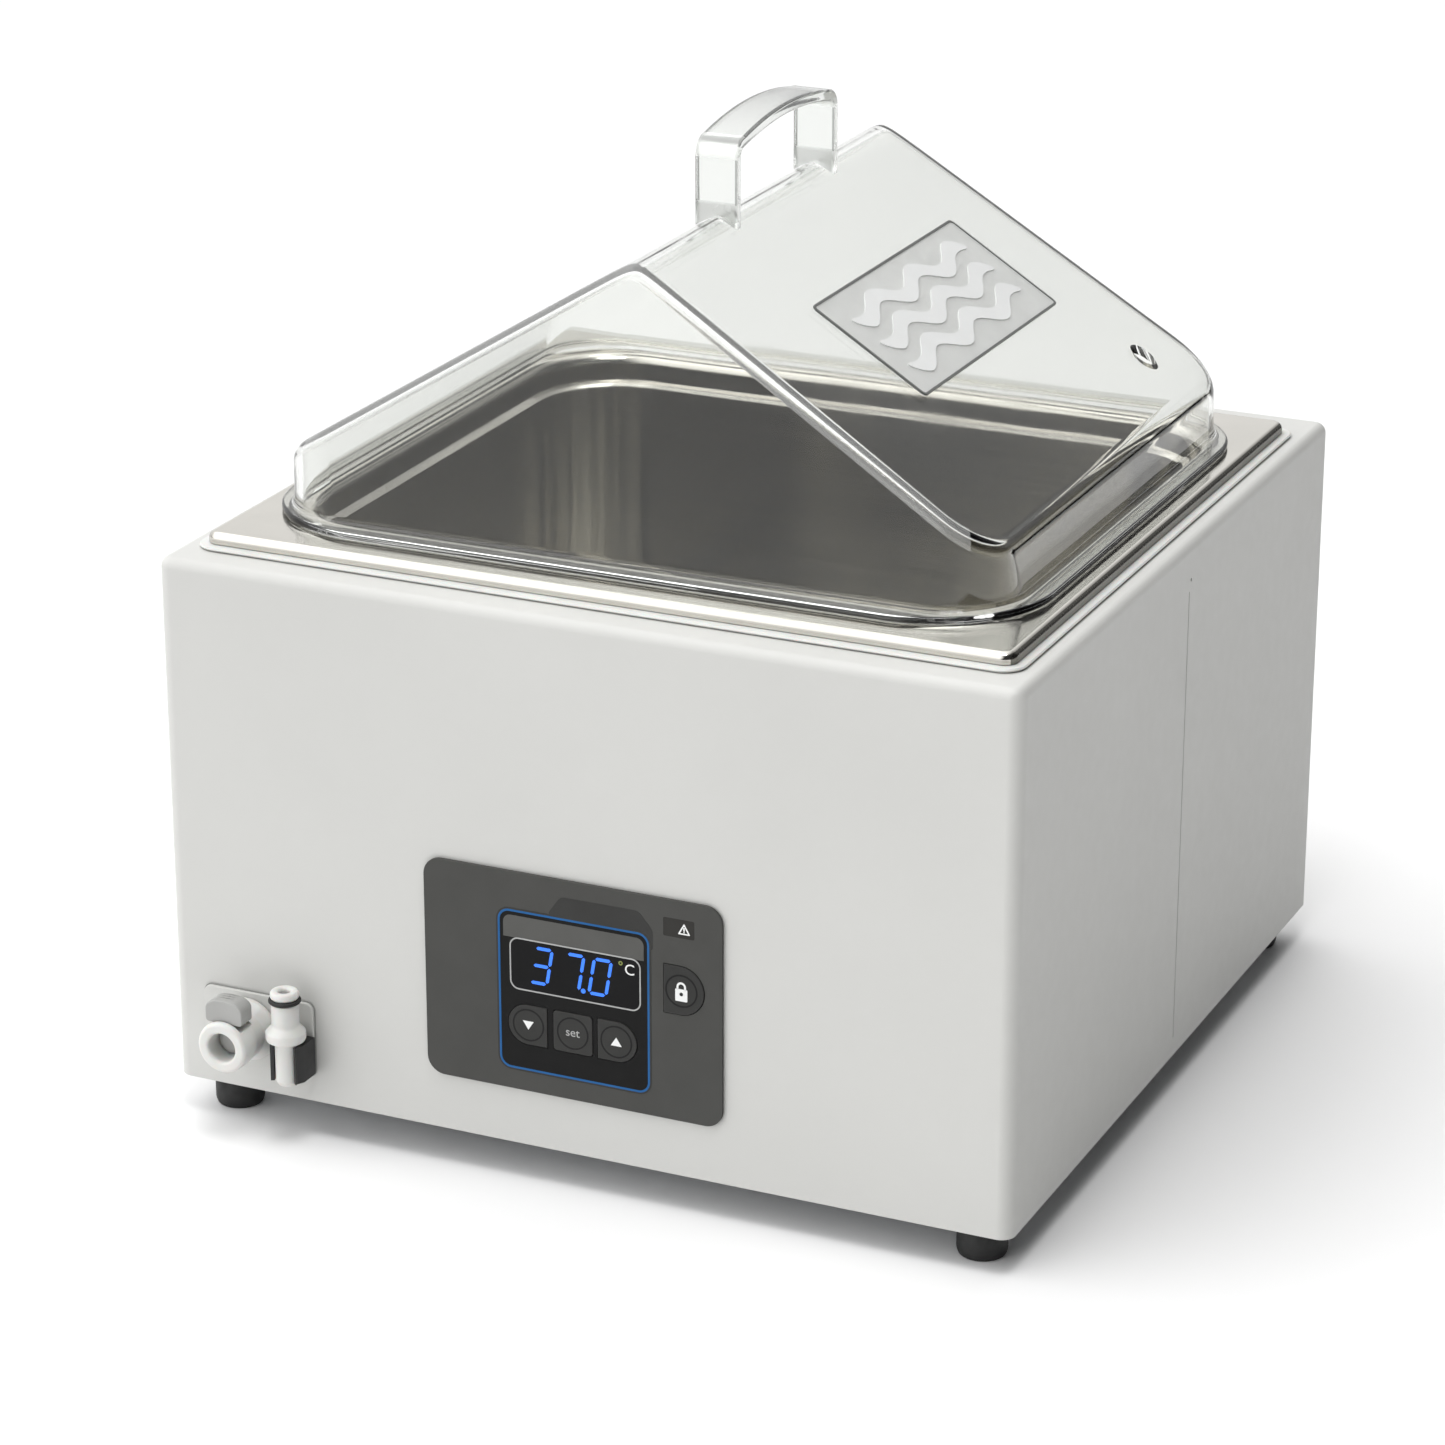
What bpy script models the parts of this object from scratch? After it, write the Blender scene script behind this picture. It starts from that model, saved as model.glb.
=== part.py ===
"""A benchtop laboratory water bath with a clear gable lid, built as separate pieces.

Metres, +Z up, +X to the operator's right, and the control panel faces -Y. The origin is on the
bench under the middle of the bath.
"""

import math

import bmesh
import bpy
from mathutils import Matrix, Vector

# Casing
CASE_WIDTH = 0.340
CASE_DEPTH = 0.339
CASE_HEIGHT = 0.208
SHEET = 0.0012
FOLD = 0.004
CORNER = 0.0055
FOOT_HEIGHT = 0.015
FOOT_RADIUS = 0.010
FOOT_INSET = 0.0170
GAP = 0.0003

# What stands out of the front and of the back
DRAIN_REACH = 0.023
INLET_REACH = 0.0049

CASE_FRONT = -(CASE_DEPTH + INLET_REACH - DRAIN_REACH) / 2
CASE_BACK = CASE_FRONT + CASE_DEPTH
CASE_BOTTOM = FOOT_HEIGHT
CASE_TOP = CASE_BOTTOM + CASE_HEIGHT
HALF_WIDTH = CASE_WIDTH / 2
SEAM_Y = CASE_FRONT + 0.172
CASE_MID_Y = (CASE_FRONT + CASE_BACK) / 2

# Tank
TANK_Y = CASE_FRONT + 0.166
RIM_X = 0.1595
RIM_Y = 0.1485
RIM_HEIGHT = 0.006
RIM_FOLD = 0.004
RIM_TOP = CASE_TOP + RIM_HEIGHT
GASKET_THICK = 0.0012
TANK_SHEET = 0.0010
OPENING_X = 0.1450
OPENING_Y = 0.1280
OPENING_CORNER = 0.042
ROLL = 0.004
LEDGE_DROP = 0.011
LEDGE = 0.0035
TANK_DEPTH = 0.150
FLOOR_RADIUS = 0.014
TANK_FLOOR = RIM_TOP - TANK_DEPTH
WALL_X = OPENING_X - ROLL - LEDGE
WALL_Y = OPENING_Y - ROLL - LEDGE
WALL_CORNER = OPENING_CORNER - ROLL - LEDGE

# Lid
LID_THICK = 0.003
LID_BASE = RIM_TOP + GAP
FLANGE_X = 0.1525
FLANGE_Y = 0.1365
FLANGE_CORNER = 0.046
LID_WALL_X = 0.1445
LID_WALL_Y = 0.1275
LID_CORNER = 0.028
EAVE_X = 0.1430
EAVE_Y = 0.1255
RIDGE_Y = 0.1165
RIDGE_Z = CASE_BOTTOM + 0.325
EAVE_Z = CASE_BOTTOM + 0.236
ROOF_SLOPE = (RIDGE_Z - EAVE_Z) / EAVE_X
LID_HOLE = (0.120, CASE_FRONT + 0.2545)
LID_HOLE_RADIUS = 0.0050

# Lid handle
HANDLE_WIDTH = 0.0170
HANDLE_THICK = 0.0045
HANDLE_FRONT = CASE_FRONT + 0.1215
HANDLE_BACK = CASE_FRONT + 0.2155
HANDLE_TOP = CASE_BOTTOM + 0.3550
HANDLE_ARCH = 0.0045
HANDLE_BEND = 0.0075

# Control panel
PANEL_X = -0.0012
PANEL_WIDTH = 0.120
PANEL_LOW = CASE_BOTTOM + 0.0226
PANEL_HIGH = CASE_BOTTOM + 0.1092
PANEL_CORNER = 0.007
PANEL_THICK = 0.0012
PANEL_BACK = CASE_FRONT - GAP
PANEL_FACE = PANEL_BACK - PANEL_THICK
WINDOW = (-0.0256, 0.0260, CASE_BOTTOM + 0.0636, CASE_BOTTOM + 0.0830)
ALARM = (0.0355, 0.0478, CASE_BOTTOM + 0.0950, CASE_BOTTOM + 0.1022)
KEY_ROW_Z = CASE_BOTTOM + 0.0495
KEY_SIZE = 0.0158
KEY_X = {"key_down": -0.0192, "key_set": -0.0009, "key_up": 0.0170}
LOCK_KEY = (0.0437, CASE_BOTTOM + 0.0745)
LOCK_WIDTH = 0.0160
LOCK_HEIGHT = 0.0190
KEY_PROUD = 0.0004

# Drain
SOCKET_X = -0.1370
SOCKET_Z = CASE_BOTTOM + 0.0262
PLATE = (-0.1560, -0.1095, CASE_BOTTOM + 0.0105, CASE_BOTTOM + 0.0405)
PLATE_THICK = 0.0015
CLIP_X = -0.1155
CLIP_Y = CASE_FRONT - 0.0115
CLIP_Z = (CASE_BOTTOM + 0.0126, CASE_BOTTOM + 0.0277)
CLIP_REACH = 0.0069
INSERT_Z = CASE_BOTTOM + 0.0070

# Mains side, on the back
INLET_X = 0.105
INLET_Z = CASE_BOTTOM + 0.052

SHARP_ANGLE = math.radians(35)
PARTS = bpy.data.collections.new("water_bath")


def clear_scene():
    for old in list(bpy.data.objects):
        bpy.data.objects.remove(old, do_unlink=True)


def material(name, colour, roughness, metallic=0.0, alpha=1.0):
    made = bpy.data.materials.new(name)
    made.use_nodes = True
    shader = made.node_tree.nodes["Principled BSDF"]
    shader.inputs["Base Color"].default_value = (*colour, 1.0)
    shader.inputs["Roughness"].default_value = roughness
    shader.inputs["Metallic"].default_value = metallic
    shader.inputs["Alpha"].default_value = alpha
    return made


def new_object(name, mesh, look):
    mesh.shade_smooth()
    mesh.set_sharp_from_angle(angle=SHARP_ANGLE)
    made = bpy.data.objects.new(name, mesh)
    PARTS.objects.link(made)
    if look is not None:
        mesh.materials.append(look)
    return made


def hidden(tool):
    tool.hide_render = True
    tool.display_type = "WIRE"
    return tool


def combine(target, tool, operation):
    step = target.modifiers.new(operation.lower(), "BOOLEAN")
    step.operation = operation
    step.solver = "EXACT"
    step.object = hidden(tool)
    return target


def cut(target, *tools):
    for tool in tools:
        combine(target, tool, "DIFFERENCE")
    return target


def add(target, *tools):
    for tool in tools:
        combine(target, tool, "UNION")
    return target


def mesh_from(name, points, faces):
    shape = bmesh.new()
    corners = [shape.verts.new(point) for point in points]
    for face in faces:
        shape.faces.new([corners[index] for index in face])
    bmesh.ops.recalc_face_normals(shape, faces=shape.faces)
    mesh = bpy.data.meshes.new(name)
    shape.to_mesh(mesh)
    shape.free()
    return mesh


def loft(name, rings, look, ring_of_rings=False):
    """Bridges rings of equal length. The ends are capped, or the last ring joins the first."""
    count = len(rings[0])
    points = [point for ring in rings for point in ring]
    faces = []
    steps = len(rings) if ring_of_rings else len(rings) - 1
    for level in range(steps):
        here = level * count
        there = ((level + 1) % len(rings)) * count
        for index in range(count):
            after = (index + 1) % count
            faces.append((here + index, here + after, there + after, there + index))
    if not ring_of_rings:
        faces.append(tuple(range(count)))
        last = (len(rings) - 1) * count
        faces.append(tuple(range(last, last + count)))
    return new_object(name, mesh_from(name, points, faces), look)


def rounded(half_x, half_y, radius, z, centre=(0.0, 0.0), steps=5):
    """A level ring round a rectangle with round corners, anticlockwise from the +X side."""
    ring = []
    for quarter in range(4):
        turn = quarter * math.pi / 2
        side_x = 1 if quarter in (0, 3) else -1
        side_y = 1 if quarter in (0, 1) else -1
        middle_x = centre[0] + side_x * (half_x - radius)
        middle_y = centre[1] + side_y * (half_y - radius)
        for step in range(steps + 1):
            angle = turn + step / steps * math.pi / 2
            ring.append(
                (middle_x + radius * math.cos(angle), middle_y + radius * math.sin(angle), z)
            )
    return ring


def fold(half_x, half_y, corner, low, radius, centre, start, end, steps=3):
    """Rings along a quarter-round edge whose inner centre is at height low. Angle 0 is outwards."""
    rings = []
    for step in range(steps + 1):
        angle = start + (end - start) * step / steps
        out = radius * math.cos(angle)
        rings.append(
            rounded(half_x + out, half_y + out, corner + out, low + radius * math.sin(angle), centre)
        )
    return rings


def box(name, low, high, look=None, bevel=0.0):
    size = Vector(high) - Vector(low)
    shape = bmesh.new()
    bmesh.ops.create_cube(shape, size=1.0)
    bmesh.ops.scale(shape, vec=size, verts=shape.verts)
    bmesh.ops.translate(shape, vec=(Vector(low) + Vector(high)) / 2, verts=shape.verts)
    if bevel:
        bmesh.ops.bevel(
            shape, geom=shape.edges[:], offset=bevel, segments=1, affect="EDGES", profile=0.5
        )
    mesh = bpy.data.meshes.new(name)
    shape.to_mesh(mesh)
    shape.free()
    return new_object(name, mesh, look)


AXIS_TURN = {
    "z": Matrix.Identity(4),
    "y": Matrix.Rotation(math.radians(90), 4, "X"),
    "x": Matrix.Rotation(math.radians(90), 4, "Y"),
}


def turned(name, profile, look=None, axis="z", centre=(0.0, 0.0, 0.0), steps=16):
    """Turns (radius, height) points about an axis. Axis y runs towards the operator.

    A profile that starts and ends on the axis is a solid, and any other is closed into a ring.
    """
    points = []
    rings = []
    for radius, height in profile:
        if radius == 0.0:
            rings.append([len(points)] * steps)
            points.append((0.0, 0.0, height))
            continue
        rings.append(list(range(len(points), len(points) + steps)))
        for step in range(steps):
            angle = math.tau * step / steps
            points.append((radius * math.cos(angle), radius * math.sin(angle), height))
    pairs = list(zip(rings, rings[1:]))
    if profile[0][0] > 0.0:
        pairs.append((rings[-1], rings[0]))
    faces = []
    for lower, upper in pairs:
        for step in range(steps):
            after = (step + 1) % steps
            corners = (lower[step], lower[after], upper[after], upper[step])
            faces.append(tuple(dict.fromkeys(corners)))
    place = Matrix.Translation(centre) @ AXIS_TURN[axis]
    placed = [place @ Vector(point) for point in points]
    return new_object(name, mesh_from(name, placed, faces), look)


def rod(name, radius, low, high, look=None, axis="z", centre=(0.0, 0.0, 0.0), steps=12):
    profile = ((0.0, low), (radius, low), (radius, high), (0.0, high))
    return turned(name, profile, look, axis, centre, steps)


def prism(name, outline, low, high, look=None, axis="y"):
    """Extrudes a flat outline. On axis y the outline is (x, z), and on axis x it is (y, z)."""
    rings = []
    for level in (low, high):
        if axis == "y":
            rings.append([(across, level, up) for across, up in outline])
        else:
            rings.append([(level, across, up) for across, up in outline])
    return loft(name, rings, look)


def panel_outline(low_x, high_x, low_z, high_z, radius, steps=4):
    ring = rounded(
        (high_x - low_x) / 2,
        (high_z - low_z) / 2,
        radius,
        0.0,
        ((low_x + high_x) / 2, (low_z + high_z) / 2),
        steps,
    )
    return [(point[0], point[1]) for point in ring]


def half_round_outline(centre_x, centre_z, width, height, round_side, steps=8):
    """A key that is square on one side and round on the other: -1 is round left, 1 round right."""
    radius = min(height / 2, width * 0.62)
    straight = centre_x - round_side * width / 2
    middle = centre_x + round_side * (width / 2 - radius)
    outline = [(straight, centre_z - height / 2)]
    for step in range(steps + 1):
        angle = -math.pi / 2 + math.pi * step / steps
        across = middle + round_side * radius * math.cos(angle)
        outline.append((across, centre_z + height / 2 * math.sin(angle)))
    outline.append((straight, centre_z + height / 2))
    return outline


def grown(outline, by):
    """The outline moved outwards by a small distance, for a clearance hole."""
    middle_x = sum(point[0] for point in outline) / len(outline)
    middle_z = sum(point[1] for point in outline) / len(outline)
    wide = max(point[0] for point in outline) - min(point[0] for point in outline)
    tall = max(point[1] for point in outline) - min(point[1] for point in outline)
    scale_x = (wide + 2 * by) / wide
    scale_z = (tall + 2 * by) / tall
    return [
        (middle_x + (x - middle_x) * scale_x, middle_z + (z - middle_z) * scale_z)
        for x, z in outline
    ]


def lead(name, route, radius, look):
    """A sheathed lead along a smooth curve through the route's points."""
    points = [Vector(point) for point in route]
    points.insert(1, points[0].lerp(points[1], 0.35))
    points.insert(-1, points[-1].lerp(points[-2], 0.35))
    ends = [points[0] * 2 - points[1], *points, points[-1] * 2 - points[-2]]
    smooth = []
    pieces = 5
    for index in range(1, len(ends) - 2):
        a, b, c, d = ends[index - 1 : index + 3]
        for step in range(pieces):
            t = step / pieces
            smooth.append(
                0.5
                * (
                    2 * b
                    + (c - a) * t
                    + (2 * a - 5 * b + 4 * c - d) * t**2
                    + (3 * b - a - 3 * c + d) * t**3
                )
            )
    smooth.append(points[-1])
    curve = bpy.data.curves.new(name, "CURVE")
    curve.dimensions = "3D"
    spline = curve.splines.new("POLY")
    spline.points.add(len(smooth) - 1)
    for knot, point in zip(spline.points, smooth):
        knot.co = (*point, 1.0)
    curve.bevel_depth = radius
    curve.bevel_resolution = 1
    curve.use_fill_caps = True
    curve.materials.append(look)
    made = bpy.data.objects.new(name, curve)
    PARTS.objects.link(made)
    return made


# --- Casing ---------------------------------------------------------------------------------


def casing_shell(name, look):
    """The whole folded casing: outside, top, tank opening and inside, as one ring of rings."""
    centre = (0.0, CASE_MID_Y)
    half_depth = CASE_DEPTH / 2
    inner_fold = FOLD - SHEET
    open_x = OPENING_X + 0.004
    open_y = OPENING_Y + 0.004
    tank_centre = (0.0, TANK_Y)
    rings = [rounded(HALF_WIDTH, half_depth, CORNER, CASE_BOTTOM, centre)]
    rings += fold(
        HALF_WIDTH - FOLD,
        half_depth - FOLD,
        CORNER - FOLD,
        CASE_TOP - FOLD,
        FOLD,
        centre,
        0.0,
        math.pi / 2,
    )
    rings.append(rounded(open_x, open_y, OPENING_CORNER, CASE_TOP, tank_centre))
    rings.append(rounded(open_x, open_y, OPENING_CORNER, CASE_TOP - SHEET, tank_centre))
    rings += fold(
        HALF_WIDTH - FOLD,
        half_depth - FOLD,
        CORNER - FOLD,
        CASE_TOP - FOLD,
        inner_fold,
        centre,
        math.pi / 2,
        0.0,
    )
    rings.append(
        rounded(HALF_WIDTH - SHEET, half_depth - SHEET, CORNER - SHEET, CASE_BOTTOM, centre)
    )
    return loft(name, rings, look, ring_of_rings=True)


def half_space(name, low_y, high_y):
    reach = HALF_WIDTH + 0.02
    return box(name, (-reach, low_y, CASE_BOTTOM - 0.01), (reach, high_y, CASE_TOP + 0.01))


def seam_slits(name):
    """The shadow line of the lapped joint, which stops short of the top and the bottom."""
    reach = HALF_WIDTH + 0.01
    low = CASE_BOTTOM + 0.0076
    high = CASE_BOTTOM + 0.1984
    return box(name, (-reach, SEAM_Y - 0.0005, low), (reach, SEAM_Y + 0.0005, high))


def vent_slots(prefix, centre, count, pitch, along, size):
    """A row of slots along an axis. size is each slot's width, depth and height."""
    made = []
    for index in range(count):
        place = Vector(centre) + Vector(along) * pitch * (index - (count - 1) / 2)
        half = Vector(size) / 2
        made.append(box(f"{prefix}_{index}", place - half, place + half))
    return made


def make_front_casing(look):
    front = casing_shell("front_casing", look)
    electronics_hole = box(
        "electronics_hole",
        (PANEL_X - 0.050, CASE_FRONT - 0.01, PANEL_LOW + 0.014),
        (PANEL_X + 0.054, CASE_FRONT + 0.01, PANEL_HIGH - 0.0055),
    )
    drain_hole = rod(
        "drain_hole", 0.0095, -0.01, 0.01, axis="y", centre=(SOCKET_X, CASE_FRONT, SOCKET_Z)
    )
    cut(
        front,
        half_space("behind_seam", SEAM_Y - GAP / 2, CASE_BACK + 0.02),
        seam_slits("front_seam_slit"),
        electronics_hole,
        drain_hole,
    )


def make_rear_casing(look):
    rear = casing_shell("rear_casing", look)
    inlet_hole = box(
        "inlet_hole",
        (INLET_X - 0.0145, CASE_BACK - 0.01, INLET_Z - 0.0335),
        (INLET_X + 0.0145, CASE_BACK + 0.01, INLET_Z + 0.0335),
    )
    vents = vent_slots(
        "rear_vent",
        (-0.02, CASE_BACK, CASE_BOTTOM + 0.035),
        7,
        0.016,
        (1, 0, 0),
        (0.004, 0.02, 0.030),
    )
    cut(
        rear,
        half_space("ahead_of_seam", CASE_FRONT - 0.02, SEAM_Y + GAP / 2),
        seam_slits("rear_seam_slit"),
        inlet_hole,
        *vents,
    )


def foot_places():
    out = HALF_WIDTH - FOOT_INSET
    for end, y in (("front", CASE_FRONT + FOOT_INSET), ("back", CASE_BACK - FOOT_INSET)):
        for side, x in (("left", -out), ("right", out)):
            yield f"{end}_{side}", x, y


def make_base_plate(look):
    """A pressed tray inside the casing's skirt, with bosses for the board and vents beneath."""
    centre = (0.0, CASE_MID_Y)
    half_x = HALF_WIDTH - SHEET - GAP
    half_y = CASE_DEPTH / 2 - SHEET - GAP
    corner = CORNER - SHEET - GAP
    low = CASE_BOTTOM
    lip = low + 0.007
    rings = [
        rounded(half_x, half_y, corner, low, centre),
        rounded(half_x, half_y, corner, lip, centre),
        rounded(half_x - SHEET, half_y - SHEET, corner - SHEET, lip, centre),
        rounded(half_x - SHEET, half_y - SHEET, corner - SHEET, low + SHEET, centre),
    ]
    plate = loft("base_plate", rings, look)
    for index, (x, y) in enumerate(board_bosses()):
        boss = rod(f"board_boss_{index}", 0.003, low + SHEET / 2, BOARD_LOW - GAP, steps=8,
                   centre=(x, y, 0.0))
        add(plate, boss)
    for place, x, y in foot_places():
        cut(plate, rod(f"foot_hole_{place}", 0.0024, low - 0.01, low + 0.01, steps=8,
                       centre=(x, y, 0.0)))
    for row, y in enumerate((CASE_MID_Y - 0.05, CASE_MID_Y - 0.015)):
        slots = vent_slots(
            f"base_vent_{row}", (0.0, y, low), 6, 0.018, (1, 0, 0), (0.004, 0.024, 0.006)
        )
        cut(plate, *slots)


def make_feet(rubber, steel):
    for place, x, y in foot_places():
        profile = (
            (0.0045, 0.0),
            (FOOT_RADIUS - 0.0012, 0.0),
            (FOOT_RADIUS - 0.0002, 0.0012),
            (FOOT_RADIUS, FOOT_HEIGHT - GAP),
            (0.0026, FOOT_HEIGHT - GAP),
            (0.0026, 0.0072),
            (0.0045, 0.0072),
        )
        turned(f"foot_{place}", profile, rubber, centre=(x, y, 0.0), steps=20)
        screw = (
            (0.0, 0.0030),
            (0.0038, 0.0036),
            (0.0040, 0.0069),
            (0.0020, 0.0069),
            (0.0020, FOOT_HEIGHT + 0.005),
            (0.0, FOOT_HEIGHT + 0.005),
        )
        turned(f"foot_screw_{place}", screw, steel, centre=(x, y, 0.0), steps=10)


# --- Tank -----------------------------------------------------------------------------------


def tank_rings(inner):
    """The pressed tank's rings from the rim's edge to the floor, on its upper or under side."""
    centre = (0.0, TANK_Y)
    skin = TANK_SHEET if inner else 0.0
    rim_radius = RIM_FOLD - skin
    rings = [
        rounded(
            RIM_X - skin, RIM_Y - skin, 0.0052 - skin, CASE_TOP + GASKET_THICK + 2 * GAP, centre, 6
        )
    ]
    for step in range(4):
        angle = step / 3 * math.pi / 2
        out = rim_radius * math.cos(angle)
        rings.append(
            rounded(
                RIM_X - RIM_FOLD + out,
                RIM_Y - RIM_FOLD + out,
                0.0012 + out,
                RIM_TOP - RIM_FOLD + rim_radius * math.sin(angle),
                centre,
                6,
            )
        )
    roll_radius = ROLL - skin
    for step in range(4):
        angle = math.pi / 2 + step / 3 * math.pi / 2
        inwards = ROLL * math.cos(angle) if not inner else roll_radius * math.cos(angle)
        rings.append(
            rounded(
                OPENING_X + inwards,
                OPENING_Y + inwards,
                OPENING_CORNER + inwards,
                RIM_TOP - ROLL + (ROLL if not inner else roll_radius) * math.sin(angle),
                centre,
                6,
            )
        )
    wall_x = OPENING_X - ROLL + skin
    wall_y = OPENING_Y - ROLL + skin
    corner = OPENING_CORNER - ROLL + skin
    ledge_z = RIM_TOP - LEDGE_DROP - skin
    rings.append(rounded(wall_x, wall_y, corner, ledge_z, centre, 6))
    rings.append(
        rounded(wall_x - LEDGE, wall_y - LEDGE, corner - LEDGE, ledge_z - 0.0015, centre, 6)
    )
    floor_radius = FLOOR_RADIUS + skin
    for step in range(4):
        angle = step / 3 * math.pi / 2
        inwards = floor_radius * (1 - math.cos(angle))
        rings.append(
            rounded(
                wall_x - LEDGE - inwards,
                wall_y - LEDGE - inwards,
                corner - LEDGE - inwards,
                TANK_FLOOR + FLOOR_RADIUS - floor_radius * math.sin(angle),
                centre,
                6,
            )
        )
    return rings


DRAIN_X = -0.088
DRAIN_Y = TANK_Y - 0.070


def make_tank(look):
    """One sheet: over the rim, down to the floor and back up its underside."""
    upper = tank_rings(inner=False)
    under = tank_rings(inner=True)
    tank = loft("tank", list(reversed(under)) + upper, look)
    cut(tank, rod("tank_drain_hole", 0.0052, TANK_FLOOR - 0.01, TANK_FLOOR + 0.01, steps=12,
                  centre=(DRAIN_X, DRAIN_Y, 0.0)))


def make_gasket(look):
    centre = (0.0, TANK_Y)
    out = 0.0035
    low = CASE_TOP + GAP
    high = low + GASKET_THICK
    inner_x = OPENING_X + 0.0035
    inner_y = OPENING_Y + 0.0035
    rings = [
        rounded(RIM_X + out, RIM_Y + out + 0.0005, 0.009, low, centre, 6),
        rounded(RIM_X + out, RIM_Y + out + 0.0005, 0.009, high, centre, 6),
        rounded(inner_x, inner_y, OPENING_CORNER, high, centre, 6),
        rounded(inner_x, inner_y, OPENING_CORNER, low, centre, 6),
    ]
    loft("tank_gasket", rings, look, ring_of_rings=True)


def make_tank_clamps(look):
    """Angle brackets under the casing's top that hook the tank's wall on each side."""
    for side, sign in (("left", -1), ("right", 1)):
        wall = sign * (WALL_X + TANK_SHEET + 0.0008)
        outer = sign * (HALF_WIDTH - 0.008)
        top = CASE_TOP - SHEET - GAP
        thick = 0.0015
        foot = top - 0.030
        outline = (
            (wall, foot),
            (wall + sign * thick, foot),
            (wall + sign * thick, top - 0.010 - thick),
            (outer, top - thick),
            (outer, top),
            (outer - sign * 0.008, top),
            (wall, top - 0.010),
        )
        prism(f"tank_clamp_{side}", outline, TANK_Y - 0.020, TANK_Y + 0.020, look)


def make_insulation(look):
    """A felt band round the tank's walls, below the clamps."""
    centre = (0.0, TANK_Y)
    low = TANK_FLOOR + 0.016
    high = TANK_FLOOR + 0.100
    near = TANK_SHEET + 0.0006
    thick = 0.010
    rings = [
        rounded(WALL_X + near + thick, WALL_Y + near + thick, WALL_CORNER + near + thick, z, centre)
        for z in (low, high)
    ]
    rings += [
        rounded(WALL_X + near, WALL_Y + near, WALL_CORNER + near, z, centre) for z in (high, low)
    ]
    loft("tank_insulation", rings, look, ring_of_rings=True)


MAT_TOP = TANK_FLOOR - TANK_SHEET - GAP
MAT_THICK = 0.003


def make_heater_mat(look, steel):
    centre = (0.0, TANK_Y)
    rings = [
        rounded(0.100, 0.085, 0.012, MAT_TOP - MAT_THICK, centre),
        rounded(0.100, 0.085, 0.012, MAT_TOP, centre),
    ]
    mat = loft("heater_mat", rings, look)
    drain_clearance = box(
        "drain_clearance",
        (DRAIN_X - 0.030, DRAIN_Y - 0.030, MAT_TOP - 0.02),
        (DRAIN_X + 0.013, DRAIN_Y + 0.013, MAT_TOP + 0.01),
    )
    cut(mat, drain_clearance)
    terminal = box(
        "heater_terminal",
        (0.060, TANK_Y + 0.050, MAT_TOP - MAT_THICK - 0.006),
        (0.084, TANK_Y + 0.066, MAT_TOP - MAT_THICK + 0.001),
    )
    add(mat, terminal)
    low = MAT_TOP - MAT_THICK - GAP
    turned(
        "overtemp_cutout",
        (
            (0.0, low - 0.012),
            (0.0055, low - 0.012),
            (0.0055, low - 0.009),
            (0.0090, low - 0.009),
            (0.0090, low - 0.003),
            (0.0125, low - 0.003),
            (0.0125, low),
            (0.0, low),
        ),
        steel,
        centre=(0.030, TANK_Y + 0.030, 0.0),
    )
    turned(
        "temp_probe",
        (
            (0.0, -0.020),
            (0.0016, -0.020),
            (0.0016, -0.004),
            (0.0030, -0.003),
            (0.0030, 0.019),
            (0.0022, 0.021),
            (0.0, 0.021),
        ),
        steel,
        axis="x",
        centre=(-0.030, TANK_Y - 0.045, low - 0.0034),
        steps=10,
    )


def make_tray(look):
    """The perforated tray that keeps vessels off the heated floor, on two folded feet."""
    centre = (0.0, TANK_Y)
    clear = 0.007
    top = TANK_FLOOR + 0.017
    half_x = WALL_X - clear
    half_y = WALL_Y - clear
    corner = WALL_CORNER - clear
    rings = [
        rounded(half_x, half_y, corner, top - TANK_SHEET, centre),
        rounded(half_x, half_y, corner, top, centre),
    ]
    tray = loft("base_tray", rings, look)
    for index, sign in enumerate((-1, 1)):
        at = sign * (half_x - 0.010)
        inner = at - sign * TANK_SHEET
        foot = box(
            f"tray_foot_{index}",
            (min(at, inner), TANK_Y - 0.070, TANK_FLOOR + GAP),
            (max(at, inner), TANK_Y + 0.070, top - TANK_SHEET / 2),
        )
        add(tray, foot)
    columns, rows, pitch = 9, 8, 0.0265
    for column in range(columns):
        for row in range(rows):
            x = pitch * (column - (columns - 1) / 2)
            y = TANK_Y + pitch * (row - (rows - 1) / 2)
            in_corner = abs(column - (columns - 1) / 2) > 3 and abs(row - (rows - 1) / 2) > 3
            if in_corner:
                continue
            cut(tray, rod(f"tray_hole_{column}_{row}", 0.0060, top - 0.01, top + 0.01, steps=8,
                          centre=(x, y, 0.0)))


# --- Lid ------------------------------------------------------------------------------------


def roof_z(x, slope=ROOF_SLOPE, ridge=RIDGE_Z, ridge_radius=0.002):
    """The height of the gable roof, with its ridge rounded over a few millimetres."""
    return ridge - slope * max(0.0, math.hypot(x, ridge_radius) - ridge_radius)


def lid_front(half_x, half_y, corner, steps=6, across=12):
    """Points from the left side, round the front-left corner, along the front, to the right."""
    points = []
    for step in range(steps + 1):
        angle = math.pi + step / steps * math.pi / 2
        points.append(
            (-half_x + corner + corner * math.cos(angle), -half_y + corner + corner * math.sin(angle))
        )
    straight = half_x - corner
    for index in range(1, across):
        t = -1 + 2 * index / across
        points.append((straight * math.copysign(abs(t) ** 1.6, t), -half_y))
    points += [(-x, y) for x, y in reversed(points[: steps + 1])]
    return points


def lid_ring(half_x, half_y, corner, height):
    """The whole ring from its front half, with each point's height from a rule on x and y."""
    front = lid_front(half_x, half_y, corner)
    whole = front + [(x, -y) for x, y in reversed(front)]
    return [(x, y + TANK_Y, height(x, y)) for x, y in whole]


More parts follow.
